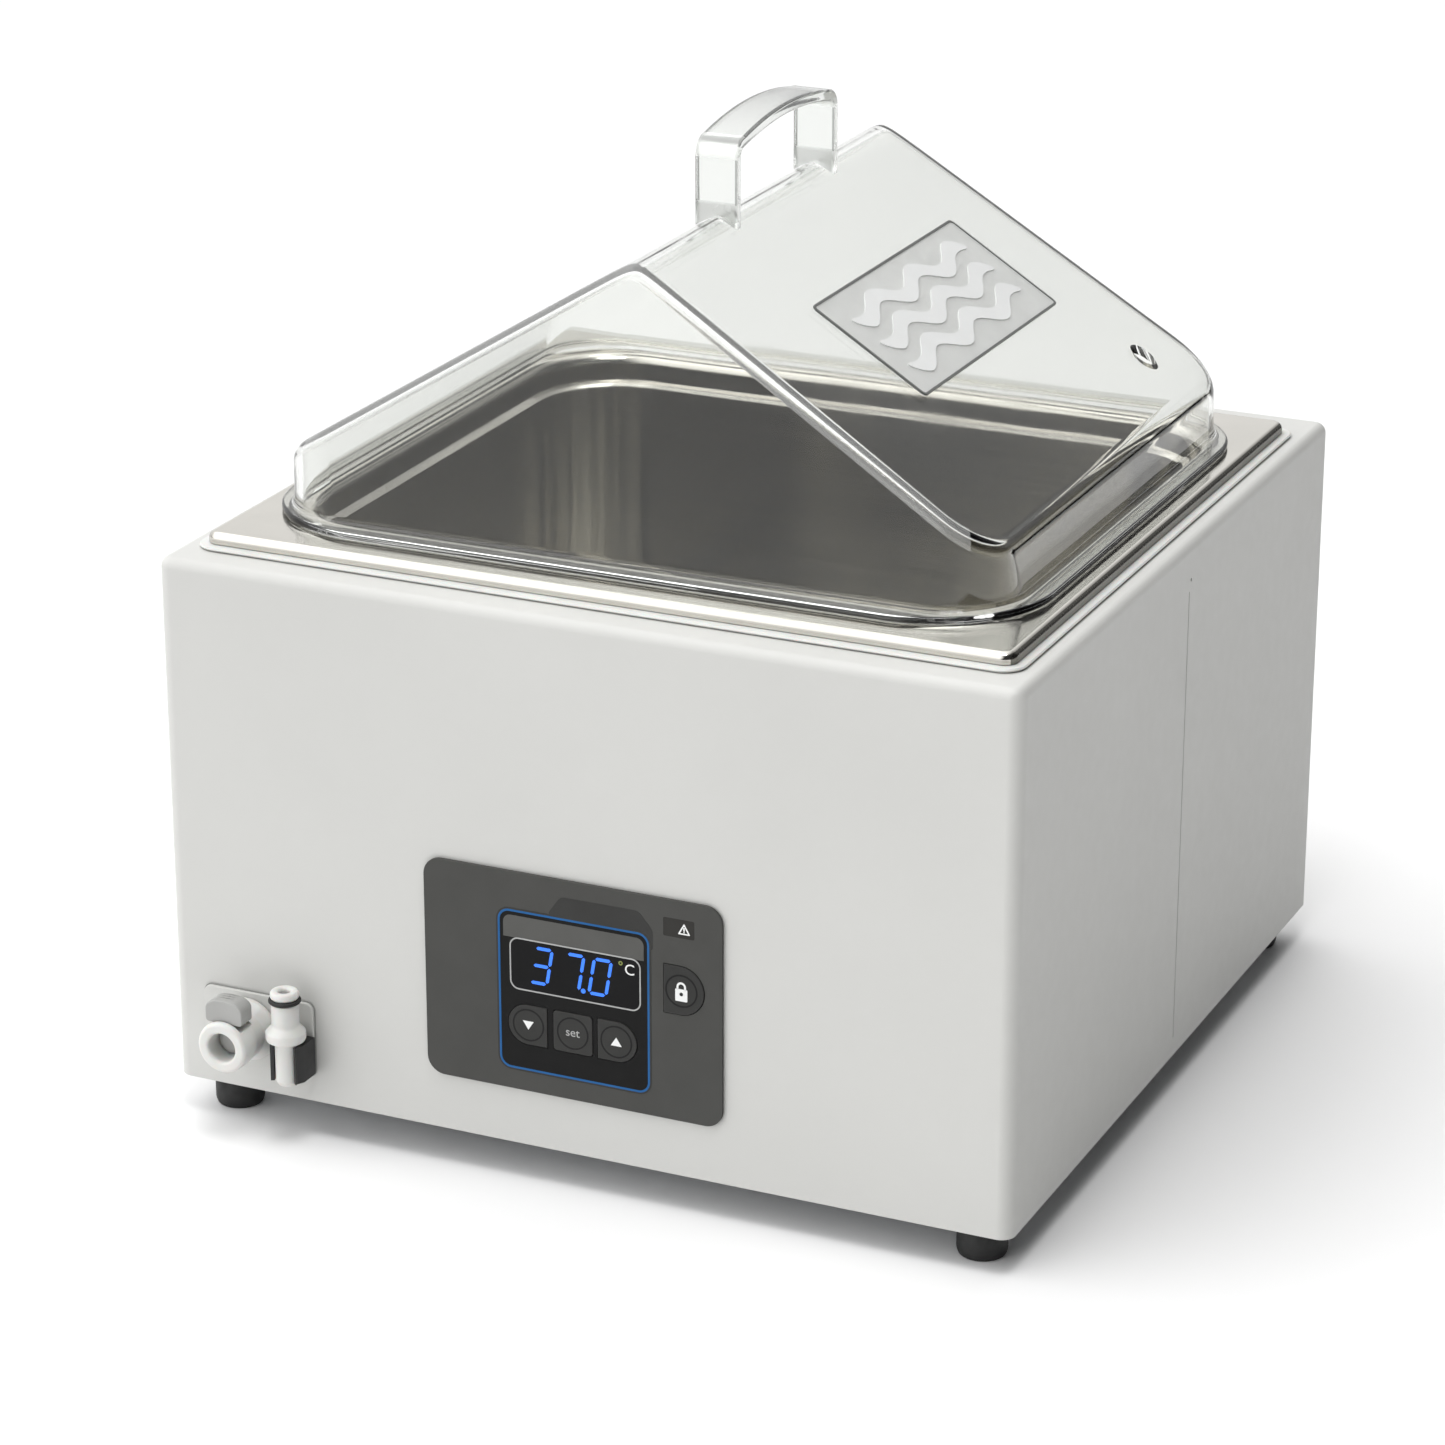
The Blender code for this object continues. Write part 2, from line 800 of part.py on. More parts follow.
def gable_ring(half_x, ridge_y, corner, thick, wall_at_eave):
    """The crease between walls and roof: it climbs the end walls, which lean in to the ridge."""
    front = lid_front(half_x, wall_at_eave, corner)
    lean = wall_at_eave - ridge_y
    leaned = []
    for x, y in front:
        height = roof_z(x) - thick * 1.15
        climb = (height - EAVE_Z) / (RIDGE_Z - EAVE_Z)
        share = min(1.0, max(0.0, -y / wall_at_eave))
        leaned.append((x, y + lean * max(0.0, climb) * share, height))
    whole = leaned + [(x, -y, z) for x, y, z in reversed(leaned)]
    return [(x, y + TANK_Y, z) for x, y, z in whole]


def make_lid_shell(look):
    thick = LID_THICK

    def level(z):
        return lambda x, y: z

    outer = [
        lid_ring(FLANGE_X, FLANGE_Y, FLANGE_CORNER, level(LID_BASE)),
        lid_ring(FLANGE_X, FLANGE_Y, FLANGE_CORNER, level(LID_BASE + thick)),
        lid_ring(LID_WALL_X, LID_WALL_Y, LID_CORNER, level(LID_BASE + thick)),
        gable_ring(EAVE_X, RIDGE_Y, LID_CORNER - 0.0015, 0.0, EAVE_Y),
    ]
    inner = [
        lid_ring(
            LID_WALL_X - thick, LID_WALL_Y - thick, LID_CORNER - thick, level(LID_BASE)
        ),
        gable_ring(
            EAVE_X - thick, RIDGE_Y - thick, LID_CORNER - 0.0015 - thick, thick, EAVE_Y - thick
        ),
    ]
    count = len(outer[0])
    half = count // 2
    points = [point for ring in outer + inner for point in ring]
    faces = []

    def bridge(a, b):
        for index in range(count):
            after = (index + 1) % count
            faces.append((a * count + index, a * count + after, b * count + after, b * count + index))

    def roof(level_index):
        start = level_index * count
        for index in range(half - 1):
            faces.append(
                (
                    start + index,
                    start + index + 1,
                    start + count - 2 - index,
                    start + count - 1 - index,
                )
            )

    for a, b in ((0, 1), (1, 2), (2, 3), (0, 4), (4, 5)):
        bridge(a, b)
    roof(3)
    roof(5)
    shell = new_object("lid_shell", mesh_from("lid_shell", points, faces), look)
    hole = rod("thermometer_hole", LID_HOLE_RADIUS, EAVE_Z - 0.05, RIDGE_Z, steps=20,
               centre=(*LID_HOLE, 0.0))
    cut(shell, hole)


def make_lid_handle(look):
    """A clear strap bent into two posts, whose notched feet sit astride the ridge."""
    arc_steps = 4
    front, back, top = HANDLE_FRONT, HANDLE_BACK, HANDLE_TOP
    foot = RIDGE_Z - 0.012
    middle = (front + back) / 2

    def arched(y):
        return HANDLE_ARCH * (1 - ((y - middle) / (middle - front)) ** 2)

    outer = [(front, foot)]
    inner = [(front + HANDLE_THICK, foot)]
    for step in range(arc_steps + 1):
        angle = math.pi - step / arc_steps * math.pi / 2
        for path, radius in ((outer, HANDLE_BEND), (inner, HANDLE_BEND - HANDLE_THICK)):
            y = front + HANDLE_BEND + radius * math.cos(angle)
            path.append((y, top - HANDLE_BEND + radius * math.sin(angle)))
    spans = 6
    for step in range(1, spans):
        y = front + HANDLE_BEND + (back - front - 2 * HANDLE_BEND) * step / spans
        outer.append((y, top + arched(y) * 0.9))
        inner.append((y, top - HANDLE_THICK + arched(y) * 0.9))
    for path in (outer, inner):
        mirrored = [(2 * middle - y, z) for y, z in reversed(path[: arc_steps + 2])]
        path += mirrored
    outline = outer + list(reversed(inner))
    half = HANDLE_WIDTH / 2
    handle = prism("lid_handle", outline, -half, half, look, axis="x")
    lift = 0.0005
    reach = half + 0.004
    notch = [(reach * step / 4, roof_z(reach * step / 4) + lift) for step in range(-4, 5)]
    notch += [(reach, foot - 0.01), (-reach, foot - 0.01)]
    cut(handle, prism("ridge_notch", notch, front - 0.01, back + 0.01))


# --- Control panel --------------------------------------------------------------------------


def key_outlines():
    outlines = {
        "key_down": half_round_outline(KEY_X["key_down"], KEY_ROW_Z, KEY_SIZE, KEY_SIZE, -1),
        "key_up": half_round_outline(KEY_X["key_up"], KEY_ROW_Z, KEY_SIZE, KEY_SIZE, 1),
        "key_lock": half_round_outline(*LOCK_KEY, LOCK_WIDTH, LOCK_HEIGHT, 1),
    }
    half = KEY_SIZE / 2
    x = KEY_X["key_set"]
    outlines["key_set"] = panel_outline(
        x - half, x + half, KEY_ROW_Z - half, KEY_ROW_Z + half, 0.001, 2
    )
    return outlines


def make_panel(look, key_look, glass, tint):
    outline = panel_outline(
        PANEL_X - PANEL_WIDTH / 2,
        PANEL_X + PANEL_WIDTH / 2,
        PANEL_LOW,
        PANEL_HIGH,
        PANEL_CORNER,
        5,
    )
    overlay = prism("control_panel", outline, PANEL_FACE, PANEL_BACK, look)
    for name, edge in key_outlines().items():
        cut(overlay, prism(f"{name}_hole", grown(edge, GAP), PANEL_FACE - 0.01, PANEL_BACK + 0.01))
        cap = prism(name, edge, PANEL_FACE - KEY_PROUD, CASE_FRONT + 0.0025, key_look)
        add(cap, prism(f"{name}_stem", grown(edge, -0.0045), CASE_FRONT + 0.002,
                       CASE_FRONT + 0.0045))
    for name, (low_x, high_x, low_z, high_z), pane in (
        ("display_window", WINDOW, glass),
        ("alarm_lens", ALARM, tint),
    ):
        hole = panel_outline(low_x - GAP, high_x + GAP, low_z - GAP, high_z + GAP, 0.0012, 2)
        cut(overlay, prism(f"{name}_hole", hole, PANEL_FACE - 0.01, PANEL_BACK + 0.01))
        edge = panel_outline(low_x, high_x, low_z, high_z, 0.0010, 2)
        prism(name, edge, PANEL_FACE + 0.0002, CASE_FRONT + 0.0010, pane)


KEYMAT_FRONT = CASE_FRONT + 0.0053
BOARD_FRONT = CASE_FRONT + 0.0082
BOARD_BACK = BOARD_FRONT + 0.0016


def make_display_electronics(rubber, board_look, black):
    low_x, high_x, low_z, high_z = WINDOW
    keymat = panel_outline(low_x - 0.003, high_x + 0.001, KEY_ROW_Z - 0.010, KEY_ROW_Z + 0.010,
                           0.002, 2)
    prism("key_mat", keymat, KEYMAT_FRONT, BOARD_FRONT - GAP, rubber)
    box(
        "display_module",
        (low_x - 0.002, CASE_FRONT + 0.0016, low_z - 0.002),
        (high_x + 0.002, BOARD_FRONT - GAP, high_z + 0.002),
        black,
        0.0006,
    )
    board = box(
        "display_board",
        (PANEL_X - 0.046, BOARD_FRONT, PANEL_LOW + 0.016),
        (PANEL_X + 0.052, BOARD_BACK, PANEL_HIGH - 0.007),
        board_look,
    )
    socket = box(
        "lead_socket",
        (0.020, BOARD_BACK - 0.001, PANEL_LOW + 0.022),
        (0.036, BOARD_BACK + 0.006, PANEL_LOW + 0.030),
    )
    controller = box(
        "controller_chip",
        (-0.018, BOARD_BACK - 0.001, PANEL_LOW + 0.040),
        (-0.006, BOARD_BACK + 0.0016, PANEL_LOW + 0.052),
    )
    add(board, socket, controller)


# --- Drain ----------------------------------------------------------------------------------


def make_drain(white, grey, black, steel, silicone):
    low_x, high_x, low_z, high_z = PLATE
    plate_back = CASE_FRONT - GAP
    plate_front = plate_back - PLATE_THICK
    outline = panel_outline(low_x, high_x, low_z, high_z, 0.003, 3)
    plate = prism("drain_plate", outline, plate_front, plate_back, white)
    cut(plate, rod("plate_hole", 0.0095, -0.01, 0.01, axis="y",
                   centre=(SOCKET_X, CASE_FRONT, SOCKET_Z)))
    # Heights run from the casing's face towards the operator.
    front = DRAIN_REACH
    socket = turned(
        "drain_socket",
        (
            (0.0062, front),
            (0.0096, front),
            (0.0104, front - 0.0010),
            (0.0106, front - 0.0080),
            (0.0098, front - 0.0100),
            (0.0098, 0.0075),
            (0.0125, 0.0040),
            (0.0125, PLATE_THICK + 2 * GAP),
            (0.0088, PLATE_THICK + 2 * GAP),
            (0.0088, -0.0125),
            (0.0050, -0.0125),
            (0.0050, -0.0330),
            (0.0030, -0.0330),
            (0.0030, 0.0060),
            (0.0062, 0.0065),
        ),
        white,
        axis="y",
        centre=(SOCKET_X, CASE_FRONT, SOCKET_Z),
        steps=20,
    )
    latch_slot = box(
        "latch_slot",
        (SOCKET_X - 0.0094, CASE_FRONT - front + 0.0022, SOCKET_Z + 0.0066),
        (SOCKET_X + 0.0094, CASE_FRONT - front + 0.0112, SOCKET_Z + 0.0200),
    )
    cut(socket, latch_slot)
    latch_low = SOCKET_Z + 0.0066 + 0.0023
    prism(
        "drain_latch",
        (
            (SOCKET_X - 0.0088, latch_low),
            (SOCKET_X + 0.0088, latch_low),
            (SOCKET_X + 0.0088, latch_low + 0.0070),
            (SOCKET_X + 0.0075, latch_low + 0.0082),
            (SOCKET_X + 0.0030, latch_low + 0.0094),
            (SOCKET_X - 0.0030, latch_low + 0.0094),
            (SOCKET_X - 0.0075, latch_low + 0.0082),
            (SOCKET_X - 0.0088, latch_low + 0.0070),
        ),
        CASE_FRONT - front + 0.0027,
        CASE_FRONT - front + 0.0107,
        grey,
    )
    turned(
        "drain_poppet",
        (
            (0.0, 0.0160),
            (0.0040, 0.0160),
            (0.0054, 0.0150),
            (0.0054, 0.0125),
            (0.0026, 0.0120),
            (0.0026, -0.0100),
            (0.0, -0.0100),
        ),
        grey,
        axis="y",
        centre=(SOCKET_X, CASE_FRONT, SOCKET_Z),
    )
    socket_place = (SOCKET_X, CASE_FRONT, SOCKET_Z)
    nut = rod("socket_nut", 0.0135, -SHEET - 0.0055, -SHEET - GAP, steel, "y", socket_place, 6)
    cut(nut, rod("nut_bore", 0.0091, -0.02, 0.0, axis="y", centre=socket_place, steps=20))
    make_insert(white, black, plate_front)
    make_drain_pipe(steel, silicone)


def make_insert(white, black, plate_front):
    """The hose insert, parked upright in a spring clip beside the socket."""
    centre = (CLIP_X, CLIP_Y, INSERT_Z)
    turned(
        "drain_insert",
        (
            (0.0022, 0.0042),
            (0.0034, 0.0042),
            (0.0043, 0.0060),
            (0.0043, 0.0222),
            (0.0076, 0.0223),
            (0.0076, 0.0262),
            (0.0052, 0.0284),
            (0.0052, 0.0372),
            (0.0045, 0.0374),
            (0.0045, 0.0396),
            (0.0055, 0.0398),
            (0.0055, 0.0416),
            (0.0048, 0.0424),
            (0.0022, 0.0424),
        ),
        white,
        centre=centre,
        steps=16,
    )
    ring = []
    for step in range(8):
        angle = math.tau * step / 8
        ring.append((0.0056 + 0.0008 * math.cos(angle), 0.0385 + 0.0008 * math.sin(angle)))
    turned("insert_o_ring", ring, black, centre=centre, steps=16)
    clip = box(
        "insert_clip",
        (CLIP_X - CLIP_REACH, CLIP_Y - 0.0030, CLIP_Z[0]),
        (CLIP_X + CLIP_REACH, plate_front - GAP, CLIP_Z[1]),
        black,
        0.0006,
    )
    bore = rod("clip_bore", 0.0047, CLIP_Z[0] - 0.01, CLIP_Z[1] + 0.01, steps=16,
               centre=(CLIP_X, CLIP_Y, 0.0))
    mouth = box(
        "clip_mouth",
        (CLIP_X - 0.0042, CLIP_Y - 0.02, CLIP_Z[0] - 0.01),
        (CLIP_X + 0.0042, CLIP_Y, CLIP_Z[1] + 0.01),
    )
    cut(clip, bore, mouth)


SPIGOT_LOW = TANK_FLOOR - 0.022


def make_drain_pipe(steel, silicone):
    """The tank's outlet, and the hose from it to the socket's barbed tail."""
    turned(
        "tank_drain_spigot",
        (
            (0.0028, SPIGOT_LOW),
            (0.0042, SPIGOT_LOW),
            (0.0048, TANK_FLOOR - TANK_SHEET - 0.004),
            (0.0090, TANK_FLOOR - TANK_SHEET - 0.003),
            (0.0090, TANK_FLOOR - TANK_SHEET - GAP),
            (0.0049, TANK_FLOOR - TANK_SHEET - GAP),
            (0.0049, TANK_FLOOR - 0.0001),
            (0.0028, TANK_FLOOR - 0.0004),
        ),
        steel,
        centre=(DRAIN_X, DRAIN_Y, 0.0),
    )
    tail_y = CASE_FRONT + 0.0330
    bend = 0.012
    lead(
        "drain_hose",
        (
            (SOCKET_X, tail_y + GAP, SOCKET_Z),
            (SOCKET_X, tail_y + bend, SOCKET_Z),
            (SOCKET_X + 0.012, DRAIN_Y - 0.010, SOCKET_Z + 0.002),
            (DRAIN_X - bend, DRAIN_Y, SOCKET_Z + 0.006),
            (DRAIN_X, DRAIN_Y, SPIGOT_LOW - bend * 0.5),
            (DRAIN_X, DRAIN_Y, SPIGOT_LOW - GAP),
        ),
        0.0055,
        silicone,
    )


# --- Mains side and electronics ---------------------------------------------------------------


BOARD_LOW = CASE_BOTTOM + 0.0082
BOARD_AT = (0.090, CASE_BACK - 0.105)
BOARD_HALF = (0.042, 0.036)


def board_bosses():
    for sign_x in (-1, 1):
        for sign_y in (-1, 1):
            yield (
                BOARD_AT[0] + sign_x * (BOARD_HALF[0] - 0.006),
                BOARD_AT[1] + sign_y * (BOARD_HALF[1] - 0.006),
            )


def make_power_board(board_look):
    x, y = BOARD_AT
    half_x, half_y = BOARD_HALF
    top = BOARD_LOW + 0.0016
    board = box(
        "power_board", (x - half_x, y - half_y, BOARD_LOW), (x + half_x, y + half_y, top), board_look
    )
    blocks = (
        ("board_relay", (-0.012, 0.012, 0.028, 0.015, 0.015)),
        ("board_transformer", (-0.012, -0.018, 0.030, 0.026, 0.022)),
        ("board_terminals", (0.028, 0.010, 0.011, 0.036, 0.011)),
        ("board_triac", (0.026, -0.024, 0.016, 0.012, 0.016)),
    )
    for name, (off_x, off_y, wide, deep, tall) in blocks:
        block = box(
            name,
            (x + off_x - wide / 2, y + off_y - deep / 2, top - 0.001),
            (x + off_x + wide / 2, y + off_y + deep / 2, top + tall),
        )
        add(board, block)


def make_mains_inlet(black, brass):
    face = CASE_BACK + GAP
    out = face + 0.0032
    inlet = box(
        "mains_inlet",
        (INLET_X - 0.0175, face, INLET_Z - 0.0365),
        (INLET_X + 0.0175, out, INLET_Z + 0.0365),
        black,
        0.0008,
    )
    body = box(
        "inlet_body",
        (INLET_X - 0.0140, CASE_BACK - 0.026, INLET_Z - 0.0330),
        (INLET_X + 0.0140, face + 0.001, INLET_Z + 0.0330),
    )
    add(inlet, body)
    socket_outline = (
        (INLET_X - 0.0120, INLET_Z - 0.0300),
        (INLET_X + 0.0120, INLET_Z - 0.0300),
        (INLET_X + 0.0120, INLET_Z - 0.0180),
        (INLET_X + 0.0080, INLET_Z - 0.0138),
        (INLET_X - 0.0080, INLET_Z - 0.0138),
        (INLET_X - 0.0120, INLET_Z - 0.0180),
    )
    cut(inlet, prism("inlet_recess", socket_outline, CASE_BACK - 0.015, out + 0.01))
    drawer_z = INLET_Z - 0.0055
    cut(inlet, box(
        "drawer_pocket",
        (INLET_X - 0.0121, CASE_BACK - 0.020, drawer_z - 0.0048),
        (INLET_X + 0.0121, out + 0.01, drawer_z + 0.0048),
    ))
    switch_z = INLET_Z + 0.0170
    cut(inlet, box(
        "switch_pocket",
        (INLET_X - 0.0105, CASE_BACK - 0.014, switch_z - 0.0125),
        (INLET_X + 0.0105, out + 0.01, switch_z + 0.0125),
    ))
    for index, (off_x, off_z) in enumerate(((0.0, 0.0040), (-0.0070, 0.0), (0.0070, 0.0))):
        x = INLET_X + off_x
        z = INLET_Z - 0.0235 + off_z
        pin = box(
            f"inlet_pin_{index}",
            (x - 0.0010, CASE_BACK - 0.016, z - 0.0020),
            (x + 0.0010, CASE_BACK - 0.002, z + 0.0020),
        )
        add(inlet, pin)
    drawer = box(
        "fuse_drawer",
        (INLET_X - 0.0118, CASE_BACK - 0.0195, drawer_z - 0.0045),
        (INLET_X + 0.0118, out, drawer_z + 0.0045),
        black,
        0.0005,
    )
    cut(drawer, box(
        "fuse_slot",
        (INLET_X - 0.0095, CASE_BACK - 0.017, drawer_z - 0.0026),
        (INLET_X + 0.0095, CASE_BACK - 0.003, drawer_z + 0.0060),
    ))
    turned(
        "fuse",
        (
            (0.0, -0.0085),
            (0.0023, -0.0085),
            (0.0023, 0.0085),
            (0.0, 0.0085),
        ),
        brass,
        axis="x",
        centre=(INLET_X, CASE_BACK - 0.010, drawer_z + 0.0001),
        steps=10,
    )
    make_rocker(black, switch_z, out)
    stud_z = CASE_BOTTOM + SHEET
    turned(
        "earth_stud",
        (
            (0.0, stud_z + GAP),
            (0.0045, stud_z + GAP),
            (0.0045, stud_z + 0.0035),
            (0.0021, stud_z + 0.0035),
            (0.0021, stud_z + 0.0120),
            (0.0, stud_z + 0.0120),
        ),
        brass,
        centre=(0.140, CASE_BACK - 0.040, 0.0),
        steps=6,
    )


ROCKER_TILT = math.radians(11)
ROCKER_PIVOT_Y = CASE_BACK - 0.0035


def make_rocker(look, pivot_z, out):
    """A rocker with two flats that meet in a shallow V, tipped to its off side about its pivot."""
    half_z = 0.0112
    outline = []
    reach = out - ROCKER_PIVOT_Y
    for along, proud in ((-half_z, 0.0016), (0.0, 0.0), (half_z, 0.0016)):
        outline.append((proud + reach - 0.0022, along))
    outline += [(-0.0045, half_z * 0.75), (-0.0060, 0.0), (-0.0045, -half_z * 0.75)]
    turn_cos = math.cos(ROCKER_TILT)
    turn_sin = math.sin(ROCKER_TILT)
    tipped = [
        (
            ROCKER_PIVOT_Y + depth * turn_cos - along * turn_sin,
            pivot_z + depth * turn_sin + along * turn_cos,
        )
        for depth, along in outline
    ]
    prism("switch_rocker", tipped, INLET_X - 0.0099, INLET_X + 0.0099, look, axis="x")


def make_leads(grey, brown):
    board_x, board_y = BOARD_AT
    top = BOARD_LOW + 0.0126
    term_x = board_x + 0.028
    lead(
        "mains_lead",
        (
            (INLET_X, CASE_BACK - 0.0265, INLET_Z - 0.010),
            (INLET_X, CASE_BACK - 0.040, INLET_Z - 0.010),
            (term_x - 0.004, board_y + 0.043, INLET_Z - 0.011),
            (term_x, board_y + 0.028, top + 0.0175),
            (term_x, board_y + 0.022, top + 0.0090),
            (term_x, board_y + 0.022, top + 0.0006),
        ),
        0.0030,
        grey,
    )
    mat_low = MAT_TOP - MAT_THICK - 0.006
    lead(
        "heater_lead",
        (
            (term_x, board_y + 0.002, top + 0.0006),
            (term_x, board_y + 0.002, top + 0.010),
            (term_x - 0.010, board_y + 0.004, top + 0.020),
            (0.072, TANK_Y + 0.058, mat_low - 0.010),
            (0.072, TANK_Y + 0.058, mat_low - GAP),
        ),
        0.0020,
        brown,
    )
    socket_low = PANEL_LOW + 0.026
    lead(
        "display_lead",
        (
            (0.028, BOARD_BACK + 0.0064, socket_low),
            (0.028, BOARD_BACK + 0.018, socket_low - 0.002),
            (0.040, CASE_FRONT + 0.060, CASE_BOTTOM + 0.018),
            (0.040, board_y - 0.060, CASE_BOTTOM + 0.012),
            (board_x - 0.030, board_y - 0.045, CASE_BOTTOM + 0.016),
            (board_x - 0.030, board_y - 0.030, BOARD_LOW + 0.010),
            (board_x - 0.030, board_y - 0.030, BOARD_LOW + 0.0026),
        ),
        0.0022,
        grey,
    )


def build():
    clear_scene()
    bpy.context.scene.collection.children.link(PARTS)
    white_coat = material("white_coat", (0.80, 0.80, 0.79), 0.42)
    steel = material("stainless", (0.55, 0.54, 0.52), 0.25, 1.0)
    zinc = material("zinc_steel", (0.60, 0.60, 0.60), 0.40, 1.0)
    clear = material("clear_polycarbonate", (0.92, 0.93, 0.93), 0.08, alpha=0.25)
    rubber = material("black_rubber", (0.02, 0.02, 0.02), 0.75)
    silicone = material("clear_silicone", (0.75, 0.76, 0.76), 0.5, alpha=0.8)
    panel = material("panel_grey", (0.085, 0.085, 0.083), 0.5)
    key = material("key_dark", (0.075, 0.075, 0.075), 0.5)
    screen = material("screen_black", (0.010, 0.012, 0.016), 0.15)
    tint = material("alarm_tint", (0.10, 0.09, 0.08), 0.25)
    board = material("circuit_green", (0.03, 0.16, 0.07), 0.5)
    white_plastic = material("white_plastic", (0.82, 0.82, 0.81), 0.35)
    grey_plastic = material("grey_plastic", (0.36, 0.36, 0.37), 0.45)
    black_plastic = material("black_plastic", (0.02, 0.02, 0.02), 0.45)
    felt = material("felt", (0.62, 0.60, 0.55), 0.95)
    foil = material("heater_foil", (0.65, 0.42, 0.20), 0.45)
    brass = material("brass", (0.70, 0.55, 0.25), 0.3, 1.0)
    lead_grey = material("lead_grey", (0.25, 0.25, 0.26), 0.6)
    lead_brown = material("lead_brown", (0.16, 0.08, 0.04), 0.6)

    make_front_casing(white_coat)
    make_rear_casing(white_coat)
    make_base_plate(zinc)
    make_feet(rubber, zinc)
    make_tank(steel)
    make_gasket(silicone)
    make_tank_clamps(zinc)
    make_insulation(felt)
    make_heater_mat(foil, steel)
    make_tray(steel)
    make_lid_shell(clear)
    make_lid_handle(clear)
    make_panel(panel, key, screen, tint)
    make_display_electronics(rubber, board, black_plastic)
    make_drain(white_plastic, grey_plastic, black_plastic, zinc, silicone)
    make_power_board(board)
    make_mains_inlet(black_plastic, brass)
    make_leads(lead_grey, lead_brown)


build()
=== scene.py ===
"""A laboratory water bath's looks, built round its CAD frame. Metres, +Z up, the panel faces -Y."""

import math

import bmesh
import bpy
from mathutils import Matrix, Vector


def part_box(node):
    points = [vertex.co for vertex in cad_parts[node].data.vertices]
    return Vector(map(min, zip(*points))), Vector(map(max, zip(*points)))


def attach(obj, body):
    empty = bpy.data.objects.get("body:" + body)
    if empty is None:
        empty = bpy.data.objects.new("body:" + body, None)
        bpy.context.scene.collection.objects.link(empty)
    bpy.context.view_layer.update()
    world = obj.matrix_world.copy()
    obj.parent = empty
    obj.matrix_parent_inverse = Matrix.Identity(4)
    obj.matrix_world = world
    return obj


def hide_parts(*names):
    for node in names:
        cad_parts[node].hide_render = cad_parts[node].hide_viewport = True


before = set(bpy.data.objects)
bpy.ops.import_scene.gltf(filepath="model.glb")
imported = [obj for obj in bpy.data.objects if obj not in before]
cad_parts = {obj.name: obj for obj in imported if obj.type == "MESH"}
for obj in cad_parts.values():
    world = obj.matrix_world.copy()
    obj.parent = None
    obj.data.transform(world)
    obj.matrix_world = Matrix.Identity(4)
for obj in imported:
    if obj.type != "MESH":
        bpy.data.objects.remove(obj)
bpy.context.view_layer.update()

# Sizes that the frame gives
CASE_LOW, FRONT_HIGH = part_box("front_casing")
REAR_LOW, CASE_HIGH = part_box("rear_casing")
CASE_FRONT = CASE_LOW.y
CASE_BACK = CASE_HIGH.y
HALF_WIDTH = CASE_HIGH.x
CASE_BOTTOM = CASE_LOW.z
CASE_TOP = CASE_HIGH.z
CASE_MID = (CASE_FRONT + CASE_BACK) / 2
SEAM_Y = (FRONT_HIGH.y + REAR_LOW.y) / 2
TANK_LOW, TANK_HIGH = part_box("tank")
TANK_Y = (TANK_LOW.y + TANK_HIGH.y) / 2
RIM_X = TANK_HIGH.x
RIM_Y = TANK_HIGH.y - TANK_Y
RIM_TOP = TANK_HIGH.z
LID_LOW, LID_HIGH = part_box("lid_shell")
RIDGE_Z = LID_HIGH.z
PANEL_LOW, PANEL_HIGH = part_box("control_panel")
PANEL_FACE = PANEL_LOW.y

SHEET = 0.0012
FOLD = 0.004
CORNER = 0.0055
OPENING_X = 0.1450
OPENING_Y = 0.1280
OPENING_CORNER = 0.042
ROLL = 0.004
LEDGE = 0.0035
LEDGE_DROP = 0.011
TANK_SHEET = 0.0010
TANK_FLOOR = RIM_TOP - 0.150
FLOOR_RADIUS = 0.014
WALL_X = OPENING_X - ROLL - LEDGE
WALL_Y = OPENING_Y - ROLL - LEDGE
WALL_CORNER = OPENING_CORNER - ROLL - LEDGE
LID_THICK = 0.003


# --- Mesh kit ---


def middle_of(node):
    low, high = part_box(node)
    return (low + high) / 2


def new_object(name, data):
    made = bpy.data.objects.new(name, data)
    bpy.context.scene.collection.objects.link(made)
    return made


def object_of(name, shape):
    """Turns a finished bmesh into an object."""
    mesh = bpy.data.meshes.new(name)
    shape.to_mesh(mesh)
    shape.free()
    return new_object(name, mesh)


def solid(name, points, faces):
    shape = bmesh.new()
    corners = [shape.verts.new(point) for point in points]
    for face in faces:
        shape.faces.new([corners[index] for index in face])
    bmesh.ops.recalc_face_normals(shape, faces=shape.faces)
    return object_of(name, shape)


def round_edges(shape, edges, width, segments):
    bmesh.ops.bevel(
        shape, geom=edges, offset=width, segments=segments, profile=0.5, affect="EDGES",
        clamp_overlap=True,
    )


def loft(name, rings, closed=False):
    """Bridges rings of equal length. The ends are capped, or the last ring joins the first."""
    count = len(rings[0])
    points = [point for ring in rings for point in ring]
    faces = []
    for level in range(len(rings) if closed else len(rings) - 1):
        here = level * count
        there = (level + 1) % len(rings) * count
        for index in range(count):
            after = (index + 1) % count
            faces.append((here + index, here + after, there + after, there + index))
    if not closed:
        faces.append(tuple(range(count)))
        faces.append(tuple(range(len(points) - count, len(points))))
    return solid(name, points, faces)


def rounded(half_x, half_y, radius, z, centre=(0.0, 0.0), steps=12):
    """A level ring round a rectangle with round corners."""
    ring = []
    for quarter in range(4):
        side_x = 1 if quarter in (0, 3) else -1
        side_y = 1 if quarter in (0, 1) else -1
        for step in range(steps + 1):
            angle = (quarter + step / steps) * math.pi / 2
            x = centre[0] + side_x * (half_x - radius) + radius * math.cos(angle)
            y = centre[1] + side_y * (half_y - radius) + radius * math.sin(angle)
            ring.append((x, y, z))
    return ring


